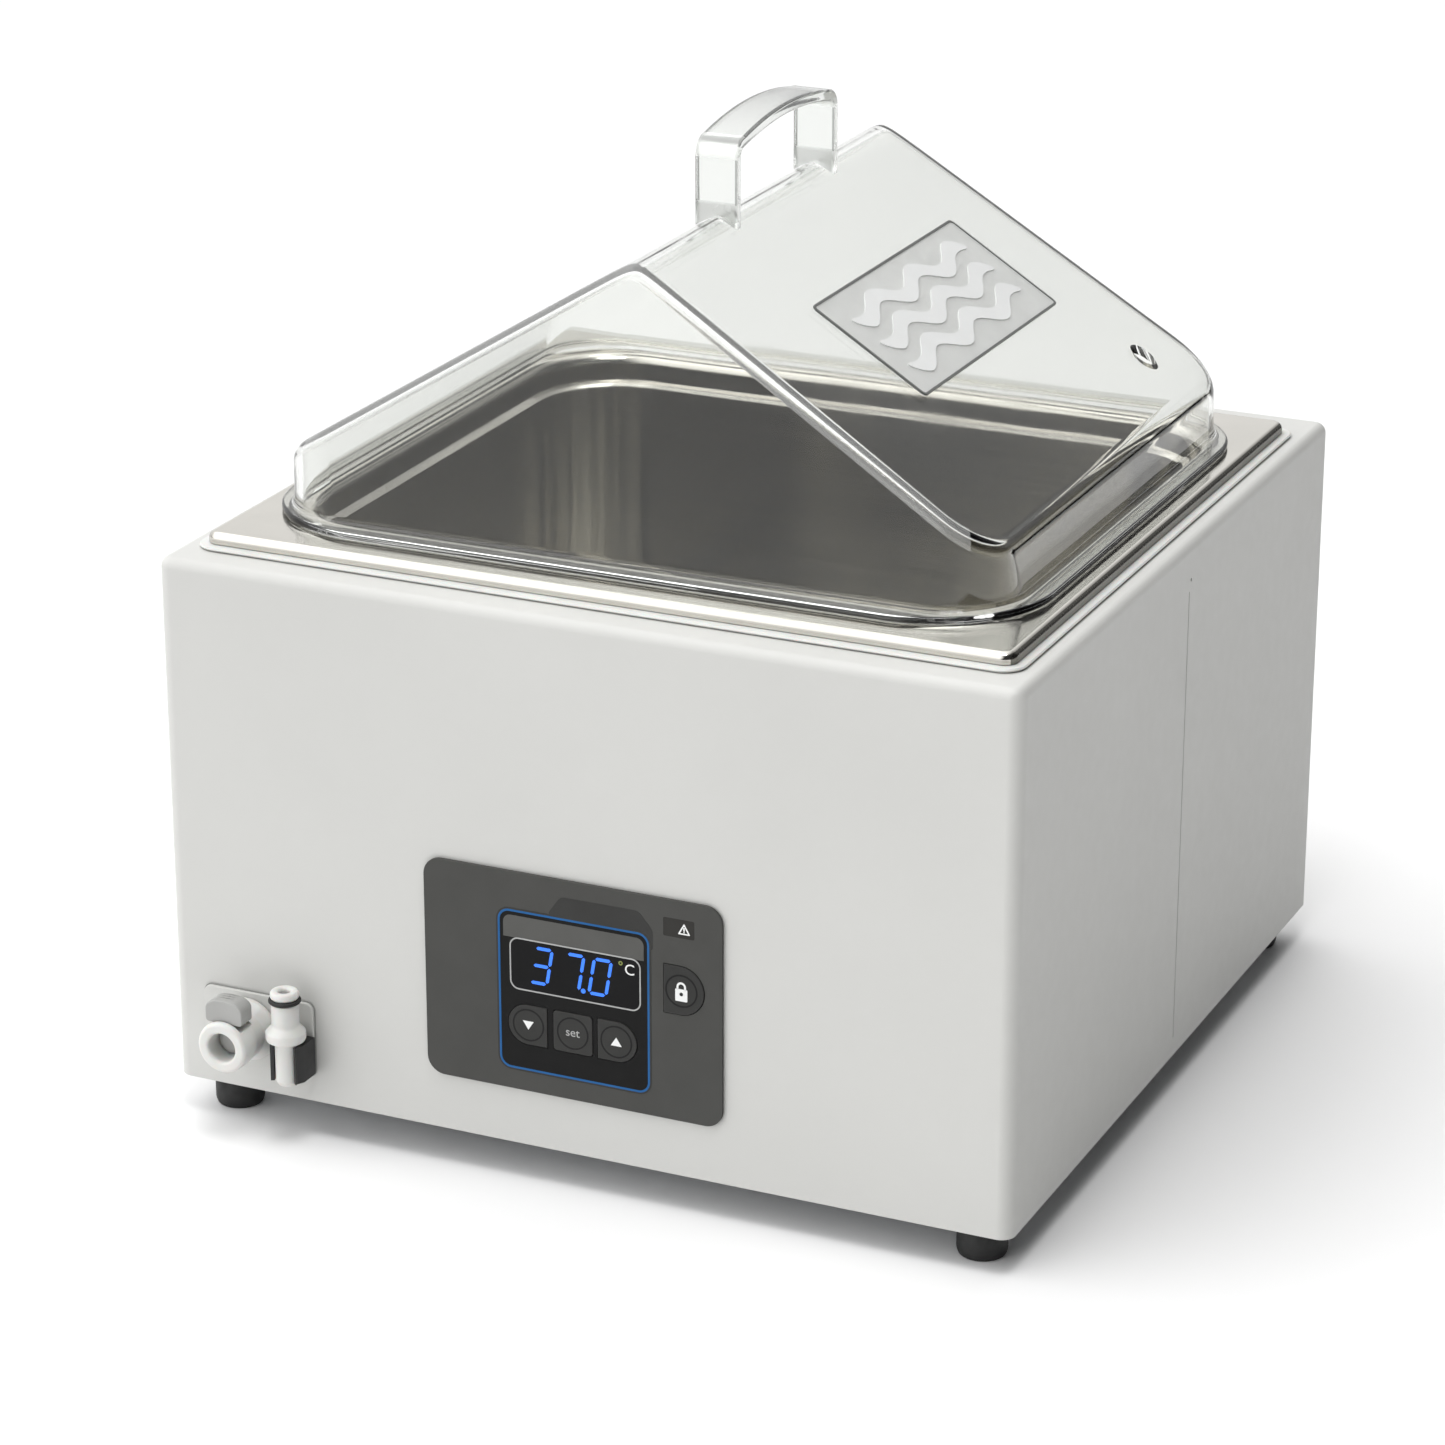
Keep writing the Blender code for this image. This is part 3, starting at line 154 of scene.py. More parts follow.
def arc(centre, radius, start, end, steps):
    """Points (across, up) on an arc, with the angles in degrees."""
    turned_by = [math.radians(start + (end - start) * step / steps) for step in range(steps + 1)]
    return [
        (centre[0] + radius * math.cos(angle), centre[1] + radius * math.sin(angle))
        for angle in turned_by
    ]


def soften(path, radius, steps=4, closed=False):
    """Rounds a path's corners, each by at most the radius."""
    out = []
    for index, here in enumerate(path):
        if not closed and index in (0, len(path) - 1):
            out.append(tuple(here))
            continue
        corner = Vector(here)
        before = Vector(path[index - 1]) - corner
        after = Vector(path[(index + 1) % len(path)]) - corner
        start = corner + before.normalized() * min(radius, before.length * 0.48)
        end = corner + after.normalized() * min(radius, after.length * 0.48)
        for step in range(steps + 1):
            t = step / steps
            out.append(tuple(start.lerp(corner, t).lerp(corner.lerp(end, t), t)))
    return out


AXIS_TURN = {
    "z": Matrix.Identity(4),
    "y": Matrix.Rotation(math.radians(90), 4, "X"),
    "x": Matrix.Rotation(math.radians(90), 4, "Y"),
}


def turned(name, profile, axis="z", centre=(0.0, 0.0, 0.0), steps=48):
    """Turns (radius, height) points about an axis. Axis y runs towards the operator."""
    points = []
    rings = []
    for radius, height in profile:
        if radius < 1e-9:
            rings.append([len(points)] * steps)
            points.append((0.0, 0.0, height))
            continue
        rings.append(list(range(len(points), len(points) + steps)))
        for step in range(steps):
            angle = math.tau * step / steps
            points.append((radius * math.cos(angle), radius * math.sin(angle), height))
    pairs = list(zip(rings, rings[1:]))
    if profile[0][0] > 1e-9:
        pairs.append((rings[-1], rings[0]))
    faces = []
    for lower, upper in pairs:
        for step in range(steps):
            after = (step + 1) % steps
            corners = (lower[step], lower[after], upper[after], upper[step])
            faces.append(tuple(dict.fromkeys(corners)))
    place = Matrix.Translation(centre) @ AXIS_TURN[axis]
    return solid(name, [place @ Vector(point) for point in points], faces)


def rod(name, radius, low, high, axis="z", centre=(0.0, 0.0, 0.0), steps=48):
    """A plain round bar, for cutting holes."""
    profile = ((0.0, low), (radius, low), (radius, high), (0.0, high))
    return turned(name, profile, axis, centre, steps)


def prism(name, outline, low, high, axis="y", bevel=0.0, segments=3):
    """Extrudes a flat outline: (x, z) along y, (y, z) along x, or (x, y) along z."""
    place = {
        "y": lambda a, b, level: (a, level, b),
        "x": lambda a, b, level: (level, a, b),
        "z": lambda a, b, level: (a, b, level),
    }[axis]
    made = loft(name, [[place(a, b, level) for a, b in outline] for level in (low, high)])
    if bevel:
        shape = bmesh.new()
        shape.from_mesh(made.data)
        caps = sorted(shape.faces, key=lambda face: len(face.verts))[-2:]
        edges = list(dict.fromkeys(edge for cap in caps for edge in cap.edges))
        round_edges(shape, edges, bevel, segments)
        shape.to_mesh(made.data)
        shape.free()
    return made


def block(name, low, high, bevel=0.0):
    shape = bmesh.new()
    bmesh.ops.create_cube(shape, size=1.0)
    bmesh.ops.scale(shape, vec=Vector(high) - Vector(low), verts=shape.verts)
    bmesh.ops.translate(shape, vec=(Vector(low) + Vector(high)) / 2, verts=shape.verts)
    if bevel:
        round_edges(shape, shape.edges[:], bevel, 3)
    return object_of(name, shape)


def join(name, *parts):
    """One object that holds several separate closed shapes."""
    shape = bmesh.new()
    for part in parts:
        shape.from_mesh(part.data)
        bpy.data.objects.remove(part)
    return object_of(name, shape)


def evaluated_mesh(thing):
    bpy.context.view_layer.update()
    graph = bpy.context.evaluated_depsgraph_get()
    return bpy.data.meshes.new_from_object(thing.evaluated_get(graph))


def cut(target, tool):
    """Takes the tool's space out of the target, and removes the tool."""
    step = target.modifiers.new("cut", "BOOLEAN")
    step.operation = "DIFFERENCE"
    step.solver = "EXACT"
    step.object = tool
    result = evaluated_mesh(target)
    target.modifiers.clear()
    target.data = result
    bpy.data.objects.remove(tool)


def outline_box(low_x, high_x, low_z, high_z, radius, steps=6, grow=0.0):
    """A flat outline with round corners, grown on every side."""
    centre = ((low_x + high_x) / 2, (low_z + high_z) / 2)
    low_x, high_x, low_z, high_z = low_x - grow, high_x + grow, low_z - grow, high_z + grow
    half_x, half_z = (high_x - low_x) / 2, (high_z - low_z) / 2
    return [(x, z) for x, z, _ in rounded(half_x, half_z, radius + grow, 0.0, centre, steps)]


def piece(made, body, slot, look, *nodes, sharp=30.0):
    """Finishes a piece: shading, material, body, and the CAD nodes that it stands for. The slot is not
    used.
    """
    made.data.shade_smooth()
    made.data.set_sharp_from_angle(angle=math.radians(sharp))
    if not made.data.materials:
        made.data.materials.append(look)
    even = made.modifiers.new("even_normals", "WEIGHTED_NORMAL")
    even.keep_sharp = True
    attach(made, body)
    if nodes:
        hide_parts(*nodes)
    return made


# --- Materials ---


def srgb(red, green, blue):
    def linear(value):
        share = value / 255
        return share / 12.92 if share <= 0.04045 else ((share + 0.055) / 1.055) ** 2.4

    return (linear(red), linear(green), linear(blue), 1.0)


class Nodes:
    """A node tree, with short ways to add and link nodes."""

    def __init__(self, tree):
        self.tree = tree

    def add(self, kind, values=None, **settings):
        made = self.tree.nodes.new(kind)
        for key, value in settings.items():
            setattr(made, key, value)
        for key, value in (values or {}).items():
            made.inputs[key].default_value = value
        return made

    def join(self, start, end):
        self.tree.links.new(start, end)


class Look(Nodes):
    """A Principled material whose colour, roughness and relief come from procedural layers."""

    def __init__(self, name, colour, roughness, metallic=0.0, **constants):
        self.material = bpy.data.materials.new(name)
        self.material.use_nodes = True
        super().__init__(self.material.node_tree)
        self.shader = self.tree.nodes["Principled BSDF"]
        constants.update(Base_Color=colour, Roughness=roughness, Metallic=metallic)
        for key, value in constants.items():
            self.shader.inputs[key.replace("_", " ")].default_value = value
        self.place = self.add("ShaderNodeTexCoord").outputs["Object"]

    def stretched(self, scale):
        mapping = self.add("ShaderNodeMapping", {"Scale": scale})
        self.join(self.place, mapping.inputs["Vector"])
        return mapping.outputs["Vector"]

    def noise(self, scale, detail=3.0, stretch=None):
        made = self.add("ShaderNodeTexNoise", {"Scale": scale, "Detail": detail})
        self.join(self.stretched(stretch) if stretch else self.place, made.inputs["Vector"])
        return made.outputs["Fac"]

    def cells(self, scale, feature="F1"):
        made = self.add("ShaderNodeTexVoronoi", {"Scale": scale}, feature=feature)
        self.join(self.place, made.inputs["Vector"])
        return made.outputs["Distance"]

    def ramp(self, fac, *stops):
        made = self.add("ShaderNodeValToRGB")
        elements = made.color_ramp.elements
        while len(elements) < len(stops):
            elements.new(0.5)
        for element, (position, colour) in zip(elements, stops):
            element.position = position
            element.color = colour
        self.join(fac, made.inputs["Fac"])
        return made.outputs["Color"]

    def spread(self, fac, low, high, start=0.3, end=0.7):
        values = {"From Min": start, "From Max": end, "To Min": low, "To Max": high}
        made = self.add("ShaderNodeMapRange", values)
        self.join(fac, made.inputs["Value"])
        return made.outputs["Result"]

    def tint(self, fac, first, second, start=0.3, end=0.7):
        colour = self.ramp(fac, (start, srgb(*first)), (end, srgb(*second)))
        self.join(colour, self.shader.inputs["Base Color"])

    def gloss(self, fac, low, high):
        self.join(self.spread(fac, low, high), self.shader.inputs["Roughness"])

    def relief(self, fac, depth, strength=1.0):
        bump = self.add("ShaderNodeBump", {"Distance": depth, "Strength": strength})
        self.join(fac, bump.inputs["Height"])
        normal = self.shader.inputs["Normal"]
        if normal.links:
            self.join(normal.links[0].from_socket, bump.inputs["Normal"])
        self.join(bump.outputs["Normal"], normal)

    def clear(self):
        """Lets lamps shine through a see-through sheet, so what is inside stays lit."""
        path = self.add("ShaderNodeLightPath")
        plain = self.add("ShaderNodeBsdfTransparent")
        mix = self.add("ShaderNodeMixShader")
        self.join(path.outputs["Is Shadow Ray"], mix.inputs["Fac"])
        self.join(self.shader.outputs["BSDF"], mix.inputs[1])
        self.join(plain.outputs["BSDF"], mix.inputs[2])
        self.join(mix.outputs["Shader"], self.tree.nodes["Material Output"].inputs["Surface"])


def powder_coat():
    look = Look("powder_coat", srgb(200, 200, 197), 0.45)
    look.tint(look.noise(9.0, 4.0), (198, 198, 195), (202, 202, 199))
    look.gloss(look.noise(160.0), 0.40, 0.50)
    look.relief(look.noise(750.0, 2.0), 0.00004, 0.55)
    look.relief(look.noise(60.0, 2.0), 0.00006, 0.25)
    return look.material


def steel(name, tone, roughness, grain=(14.0, 900.0, 900.0), depth=0.000004):
    look = Look(name, srgb(*tone), roughness, 1.0)
    darker = tuple(value - 9 for value in tone)
    lines = look.noise(1.0, 5.0, grain)
    look.tint(look.noise(22.0, 4.0), darker, tone)
    look.gloss(lines, roughness * 0.75, roughness * 1.35)
    look.relief(lines, depth, 0.7)
    return look.material


def plastic(name, tone, roughness, spread=6, grain=1500.0, depth=0.00001, **more):
    look = Look(name, srgb(*tone), roughness, **more)
    lighter = tuple(min(255, value + spread) for value in tone)
    look.tint(look.noise(70.0, 3.0), tone, lighter)
    look.gloss(look.noise(240.0), roughness * 0.85, roughness * 1.2)
    look.relief(look.noise(grain, 2.0), depth, 0.6)
    return look.material


def clear_sheet(name, roughness, tone, grazing_shade_tone, waviness, clarity=1.0):
    """Clear plastic whose tint is painted darker where it is seen along the sheet: painted shade for
    the dark outlines that refraction gives.
    """
    look = Look(name, srgb(*tone), roughness, Transmission_Weight=clarity, IOR=1.45)
    facing = look.add("ShaderNodeLayerWeight", {"Blend": 0.5}).outputs["Facing"]
    look.tint(facing, tone, grazing_shade_tone, 0.55, 0.98)
    look.gloss(look.noise(45.0, 3.0), roughness * 0.6, roughness * 1.6)
    look.relief(look.noise(13.0, 1.0), waviness, 0.5)
    look.clear()
    return look.material


def felt():
    look = Look("pressed_felt", srgb(205, 200, 190), 0.95, Sheen_Weight=0.4)
    look.tint(look.noise(420.0, 6.0), (176, 170, 158), (222, 218, 208))
    look.relief(look.noise(900.0, 6.0, (1.0, 1.0, 0.35)), 0.0006, 0.9)
    return look.material


def heater_foil():
    look = Look("heater_foil", srgb(196, 142, 78), 0.35, Coat_Weight=0.6)
    wave = look.add("ShaderNodeTexWave", {"Scale": 70.0, "Distortion": 0.0}, bands_direction="X")
    look.join(look.place, wave.inputs["Vector"])
    look.tint(wave.outputs["Fac"], (150, 92, 40), (214, 168, 104), 0.45, 0.55)
    look.relief(wave.outputs["Fac"], 0.00006, 0.6)
    return look.material


def circuit_board():
    look = Look("circuit_board", srgb(24, 92, 52), 0.38, Coat_Weight=0.3)
    tracks = look.cells(230.0, "DISTANCE_TO_EDGE")
    look.tint(tracks, (44, 128, 74), (20, 84, 46), 0.03, 0.07)
    look.relief(tracks, 0.00005, 0.4)
    return look.material


def glow(name, tone, strength):
    look = Look(name, srgb(*tone), 0.4, Emission_Strength=strength)
    look.shader.inputs["Emission Color"].default_value = srgb(*tone)
    darker = tuple(int(value * 0.9) for value in tone)
    look.tint(look.noise(900.0), darker, tone)
    return look.material


COAT = powder_coat()
RIM_STEEL = steel("polished_steel", (208, 205, 198), 0.14)
# Darker steel on the rim's turned-down left and right sides: a painted dark reflection.
RIM_SIDE_PAINTED_REFLECTION = steel("rim_side_painted_reflection", (116, 114, 108), 0.22)
TRAY_STEEL = steel("satin_steel", (186, 184, 177), 0.20, (900.0, 14.0, 900.0))
BRIGHT_STEEL = steel("drawn_steel", (190, 188, 184), 0.25, (900.0, 900.0, 20.0))
ZINC = steel("zinc_plate", (186, 188, 190), 0.38, (60.0, 60.0, 60.0), 0.00002)
BRASS = steel("brass", (200, 168, 96), 0.30, (300.0, 300.0, 300.0), 0.00001)
CLEAR_LID = clear_sheet("clear_polycarbonate", 0.025, (247, 248, 246), (226, 228, 225), 0.0005)
# Rougher clear sheet on the lid's crease, with a milky white share that is a painted soft highlight
# along the bend.
LID_CREASE_PAINTED_HIGHLIGHT = clear_sheet("crease_painted_highlight", 0.12, (252, 253, 251), (240, 242, 239), 0.0003, 0.80)
# The strap's clear sheet turns dark grey where it is seen edge-on: painted shade for its dark
# outlines.
CLEAR_HANDLE = clear_sheet("clear_strap", 0.03, (240, 242, 239), (84, 86, 84), 0.0002)
# Dark grey tint on the strap's bevelled sides: painted shade for the dark refracted edges.
STRAP_EDGE_PAINTED_SHADE = clear_sheet("strap_edge_painted_shade", 0.05, (142, 144, 142), (84, 86, 84), 0.0002, 0.85)
# Paler, cloudier and rougher sheet on the strap's bends: painted light that lifts the dark band the
# bends show.
STRAP_BEND_PAINTED_LIGHT = clear_sheet("strap_bend_painted_light", 0.16, (244, 246, 243), (206, 208, 205), 0.0002, 0.60)
FROSTED = clear_sheet("frosted_joint", 0.28, (216, 218, 215), (150, 152, 150), 0.0001)
BADGE_FILM = plastic("badge_film", (238, 239, 237), 0.55, 6, 1200.0, 0.00002,
                     Transmission_Weight=0.5)
BADGE_WAVES = plastic("badge_waves", (244, 245, 244), 0.45, 4, 900.0, 0.00001,
                      Transmission_Weight=0.2)
BADGE_EDGE = plastic("badge_edge", (112, 114, 112), 0.4, 6, 900.0, 0.00001,
                     Transmission_Weight=0.3)
RUBBER = plastic("black_rubber", (26, 26, 26), 0.62, 8, 1200.0, 0.00003)
SILICONE = plastic("silicone", (206, 207, 204), 0.5, 8, 800.0, 0.00002, Subsurface_Weight=0.15,
                   Subsurface_Scale=0.001)
DULL = {"Specular_IOR_Level": 0.12}
FILM = (3, 2600.0, 0.000012)
PANEL_FILM = plastic("panel_film", (72, 72, 70), 0.48, *FILM, **DULL)
PANEL_TAB = plastic("panel_tab", (56, 56, 55), 0.46, *FILM, **DULL)
PANEL_STRIP = plastic("panel_strip", (86, 86, 84), 0.46, *FILM, **DULL)
PANEL_FIELD = plastic("panel_field", (20, 20, 20), 0.42, *FILM, **DULL)
KEY_CAP = plastic("key_cap", (54, 54, 53), 0.46, 4, 2200.0, 0.000012, **DULL)
KEY_RING = plastic("key_ring", (32, 32, 32), 0.44, 3, 2200.0, 0.00001, **DULL)
PRINT_WHITE = plastic("print_white", (232, 233, 232), 0.45, 4)
PRINT_GREY = plastic("print_grey", (168, 169, 168), 0.45, 4)
PRINT_BLUE = plastic("print_blue", (36, 90, 146), 0.45, 6, **DULL)
PRINT_GREEN = plastic("print_green", (122, 132, 60), 0.45, 6)
SCREEN = plastic("screen", (16, 16, 17), 0.16, 3, 400.0, 0.000002, **DULL)
TINT = plastic("alarm_tint", (50, 49, 47), 0.2, 3, 400.0, 0.000002, **DULL)
DIGIT_BLUE = glow("digit_blue", (40, 108, 228), 0.8)
WHITE_PLASTIC = plastic("white_plastic", (214, 214, 211), 0.34, 5, 500.0, 0.00001,
                        Subsurface_Weight=0.2, Subsurface_Scale=0.002)
GREY_PLASTIC = plastic("grey_plastic", (160, 160, 158), 0.42, 6, 900.0, 0.00002)
# Grey for the thin seal round the drain plate, which stands in for the plate's shadow outline: painted
# shadow.
SHADOW_LINE_GREY = plastic("shadow_line_seal_grey", (146, 147, 144), 0.5, 6, 900.0, 0.00002, **DULL)
BLACK_PLASTIC = plastic("black_plastic", (30, 30, 31), 0.42, 6, 1600.0, 0.00004)
GREY_LEAD = plastic("grey_lead", (128, 129, 131), 0.55, 8, 700.0, 0.00003)
BROWN_LEAD = plastic("brown_lead", (92, 58, 40), 0.5, 8, 700.0, 0.00003)
FELT = felt()
FOIL = heater_foil()
BOARD = circuit_board()


# --- Casing ---


def casing_shell(name):
    """The whole casing in one folded skin, open below and round the tank."""
    centre = (0.0, CASE_MID)
    half_depth = (CASE_BACK - CASE_FRONT) / 2
    opening = (OPENING_X + 0.004, OPENING_Y + 0.004, OPENING_CORNER)

    def level(out, z):
        x, y, corner = (size - FOLD + out for size in (HALF_WIDTH, half_depth, CORNER))
        return rounded(x, y, corner, z, centre)

    def bend(radius, start, end):
        path = arc((0.0, -FOLD), radius, start, end, 8)
        return [level(out, CASE_TOP + up) for out, up in path]

    rings = [level(FOLD, CASE_BOTTOM)] + bend(FOLD, 0, 90)
    rings += [rounded(*opening, z, (0.0, TANK_Y)) for z in (CASE_TOP, CASE_TOP - SHEET)]
    rings += bend(FOLD - SHEET, 90, 0)
    rings.append(level(FOLD - SHEET, CASE_BOTTOM))
    return loft(name, rings, closed=True)


SEAM_GAP = 0.0004
SEAM_FOOT = CASE_BOTTOM + 0.0076
SEAM_TOP = CASE_BOTTOM + 0.1890
BORE = 0.0095
VENTS = 7
VENT_PITCH = 0.016
VENT_MIDDLE = (-0.020, CASE_BOTTOM + 0.035)
VENT_HALF = (0.002, 0.015)
INLET_LIP = 0.003


def cut_block(target, low, high):
    cut(target, block("cutter", low, high))


def cut_seam(half):
    """Cuts the shadow line down each side, with a small hole over its top end."""
    reach = HALF_WIDTH + 0.01
    cut_block(half, (-reach, SEAM_Y - SEAM_GAP, SEAM_FOOT), (reach, SEAM_Y + SEAM_GAP, SEAM_TOP))
    centre = (0.0, SEAM_Y + 0.0016, SEAM_TOP + 0.0044)
    cut(half, rod("slit_hole", 0.0007, -reach, reach, "x", centre, 16))


def make_casing():
    reach = HALF_WIDTH + 0.02
    over = 0.01
    front = casing_shell("casing_front")
    cut_block(front, (-reach, SEAM_Y, -over), (reach, CASE_BACK + over, CASE_TOP + over))
    cut_seam(front)
    cut_block(
        front,
        (PANEL_LOW.x + 0.011, CASE_FRONT - over, PANEL_LOW.z + 0.014),
        (PANEL_HIGH.x - 0.0055, CASE_FRONT + over, PANEL_HIGH.z - 0.0055),
    )
    cut(front, socket_bore("casing_bore"))
    piece(front, "base", "white_coat", COAT, "front_casing")

    rear = casing_shell("casing_rear")
    cut_block(rear, (-reach, CASE_FRONT - over, -over), (reach, SEAM_Y, CASE_TOP + over))
    cut_seam(rear)
    low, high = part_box("mains_inlet")
    cut_block(
        rear,
        (low.x + INLET_LIP, CASE_BACK - over, low.z + INLET_LIP),
        (high.x - INLET_LIP, CASE_BACK + over, high.z - INLET_LIP),
    )
    slots = []
    for index in range(VENTS):
        x = VENT_MIDDLE[0] + VENT_PITCH * (index - VENTS // 2)
        z = VENT_MIDDLE[1]
        half_x, half_z = VENT_HALF
        outline = outline_box(x - half_x, x + half_x, z - half_z, z + half_z, half_x - 0.00005)
        slots.append(prism(f"vent_{index}", outline, CASE_BACK - over, CASE_BACK + over))
    cut(rear, join("vents", *slots))
    piece(rear, "base", "white_coat", COAT, "rear_casing")


SOCKET_LOW, SOCKET_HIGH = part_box("drain_socket")
SOCKET_X = (SOCKET_LOW.x + SOCKET_HIGH.x) / 2
SOCKET_Z = (SOCKET_LOW.z + SOCKET_HIGH.z) / 2
SOCKET_AT = (SOCKET_X, CASE_FRONT, SOCKET_Z)
# The thin grey seal round the drain plate, a painted shadow outline: how far it shows past the plate,
# and how thick it is.
SHADOW_LINE_EDGE = 0.00045
SHADOW_LINE_THICK = 0.0003


def socket_bore(name):
    return rod(name, BORE, -0.01, 0.01, "y", SOCKET_AT)


FOOT_PLACES = ("front_left", "front_right", "back_left", "back_right")


def make_feet():
    for place in FOOT_PLACES:
        low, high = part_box(f"foot_{place}")
        middle = middle_of(f"foot_{place}")
        radius = (high.x - low.x) / 2 - 0.0006
        profile = [(0.0045, 0.0072), (0.0045, 0.0), (radius - 0.0008, 0.0), (radius, 0.0022)]
        profile += [(radius, high.z - 0.0008), (radius - 0.0006, high.z), (0.0026, high.z)]
        profile += [(0.0026, 0.0072), (0.0036, 0.0072)]
        made = turned(
            f"rubber_foot_{place}", soften(profile, 0.0008), centre=(middle.x, middle.y, 0.0), steps=64
        )
        piece(made, "base", "black_rubber", RUBBER, f"foot_{place}")


# --- Tank ---

TANK_RIM_LOW = CASE_TOP + 0.0018
RIM_CORNER = 0.0052
RIM_BEND = 0.0028


def tank_section(skin):
    """The pressed sheet's section from the rim's edge to the floor: half sizes, corner, height."""
    section = [(RIM_X - skin, RIM_Y - skin, RIM_CORNER - skin, TANK_RIM_LOW)]
    for out, up in arc((0.0, 0.0), RIM_BEND - skin, 0, 90, 8):
        x, y, corner = (size - RIM_BEND + out for size in (RIM_X, RIM_Y, RIM_CORNER))
        section.append((x, y, corner, RIM_TOP - RIM_BEND + up))
    wall = ROLL - skin
    ledge = wall + LEDGE
    ledge_z = RIM_TOP - LEDGE_DROP - skin
    radius = FLOOR_RADIUS + skin
    path = [(-out, RIM_TOP - ROLL + up) for out, up in arc((0.0, 0.0), wall, 90, 180, 8)]
    path += [(wall, ledge_z + 0.0012), (wall + 0.0002, ledge_z + 0.0004), (wall + 0.0010, ledge_z)]
    path += [(ledge - 0.0012, ledge_z - 0.0008), (ledge - 0.0003, ledge_z - 0.0013)]
    path.append((ledge, ledge_z - 0.0024))
    for out, up in arc((0.0, 0.0), radius, 0, -90, 10):
        path.append((ledge + radius - out, TANK_FLOOR + FLOOR_RADIUS + up))
    for inwards, z in path:
        x, y, corner = (size - inwards for size in (OPENING_X, OPENING_Y, OPENING_CORNER))
        section.append((x, y, corner, z))
    return section


def make_tank():
    centre = (0.0, TANK_Y)
    chain = list(reversed(tank_section(TANK_SHEET))) + tank_section(0.0)
    rings = [rounded(x, y, corner, z, centre, 16) for x, y, corner, z in chain]
    tank = loft("tank_pan", rings)
    at = middle_of("tank_drain_spigot")
    cut(tank, rod("outlet", 0.0052, -0.01, 0.01, centre=(at.x, at.y, TANK_FLOOR)))
    tank.data.materials.append(RIM_STEEL)
    tank.data.materials.append(RIM_SIDE_PAINTED_REFLECTION)
    # The rim's left and right turned-down sides get the darker steel, a painted dark reflection.
    for face in tank.data.polygons:
        on_dark_side = abs(face.center.x) > RIM_X - 0.0015 and face.center.z < RIM_TOP - 0.0006
        face.material_index = 1 if on_dark_side else 0
    piece(tank, "base", "stainless", RIM_STEEL, "tank")

    low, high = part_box("tank_gasket")
    out_x = high.x
    out_y = (high.y - low.y) / 2
    edge = 0.0005
    section = [(out_x - edge, out_y - edge, low.z), (out_x, out_y, low.z + edge)]
    section += [(out_x, out_y, high.z - edge), (out_x - edge, out_y - edge, high.z)]
    rings = [rounded(x, y, 0.009 + x - out_x, z, centre) for x, y, z in section]
    inner = (OPENING_X + 0.0035, OPENING_Y + 0.0035, OPENING_CORNER)
    rings += [rounded(*inner, z, centre) for z in (high.z, low.z)]
    piece(loft("rim_gasket", rings, closed=True), "base", "silicone", SILICONE, "tank_gasket")


HOLE_COLUMNS = 9
HOLE_ROWS = 8
HOLE_PITCH = 0.0265


def make_tray():
    """A perforated plate with a turned-down skirt and two legs."""
    low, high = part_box("base_tray")
    half_x = high.x
    half_y = (high.y - low.y) / 2
    corner = WALL_CORNER - 0.007
    top = high.z
    centre = (0.0, TANK_Y)

    def level(inwards, z):
        return rounded(half_x - inwards, half_y - inwards, corner - inwards, z, centre)

    bend = 0.0022
    rings = [level(TANK_SHEET, top - 0.006), level(0.0, top - 0.006)]
    rings += [level(bend - out, top - bend + up) for out, up in arc((0, 0), bend, 0, 90, 6)]
    rings += [level(0.012, top), level(0.012, top - TANK_SHEET)]
    inner = bend - TANK_SHEET
    rings += [level(bend - out, top - bend + up) for out, up in arc((0, 0), inner, 90, 0, 6)]
    skirt = loft("tray_skirt", rings, closed=True)
    plate = loft("tray_plate", [level(0.0119, top - TANK_SHEET), level(0.0119, top)])
    holes = []
    for column in range(HOLE_COLUMNS):
        across = column - (HOLE_COLUMNS - 1) / 2
        for row in range(HOLE_ROWS):
            along = row - (HOLE_ROWS - 1) / 2
            if abs(across) < 3.2 or abs(along) < 3.2:
                place = (HOLE_PITCH * across, TANK_Y + HOLE_PITCH * along, top)
                holes.append(rod("hole", 0.0060, -0.004, 0.004, centre=place, steps=32))
    cut(plate, join("holes", *holes))
    feet = []
    for sign in (-1, 1):
        at = sign * (half_x - 0.010)
        inner_x = at - sign * TANK_SHEET
        leg_low = (min(at, inner_x), TANK_Y - 0.070, low.z)
        leg_high = (max(at, inner_x), TANK_Y + 0.070, top - TANK_SHEET * 0.9)
        feet.append(block("tray_leg", leg_low, leg_high, 0.0004))
    tray = join("perforated_tray", skirt, plate, *feet)
    piece(tray, "tray", "stainless", TRAY_STEEL, "base_tray")


# --- Lid ---

FLANGE_X = LID_HIGH.x
FLANGE_Y = (LID_HIGH.y - LID_LOW.y) / 2
FLANGE_CORNER = 0.046
LID_WALL_X = 0.1445
LID_WALL_Y = 0.1275
LID_CORNER = 0.028
EAVE_X = 0.1430
EAVE_Y = 0.1255
RIDGE_Y = 0.1165
EAVE_Z = RIDGE_Z - 0.089
ROOF_SLOPE = (RIDGE_Z - EAVE_Z) / EAVE_X
EAVE_CORNER = 0.022
CREASE = 0.0050
CREASE_STEPS = 9
LID_HOLE = (0.120, CASE_FRONT + 0.2545)
LID_HOLE_RADIUS = 0.0050


def roof_z(x, ridge_radius=0.003):
    return RIDGE_Z - ROOF_SLOPE * (math.hypot(x, ridge_radius) - ridge_radius)


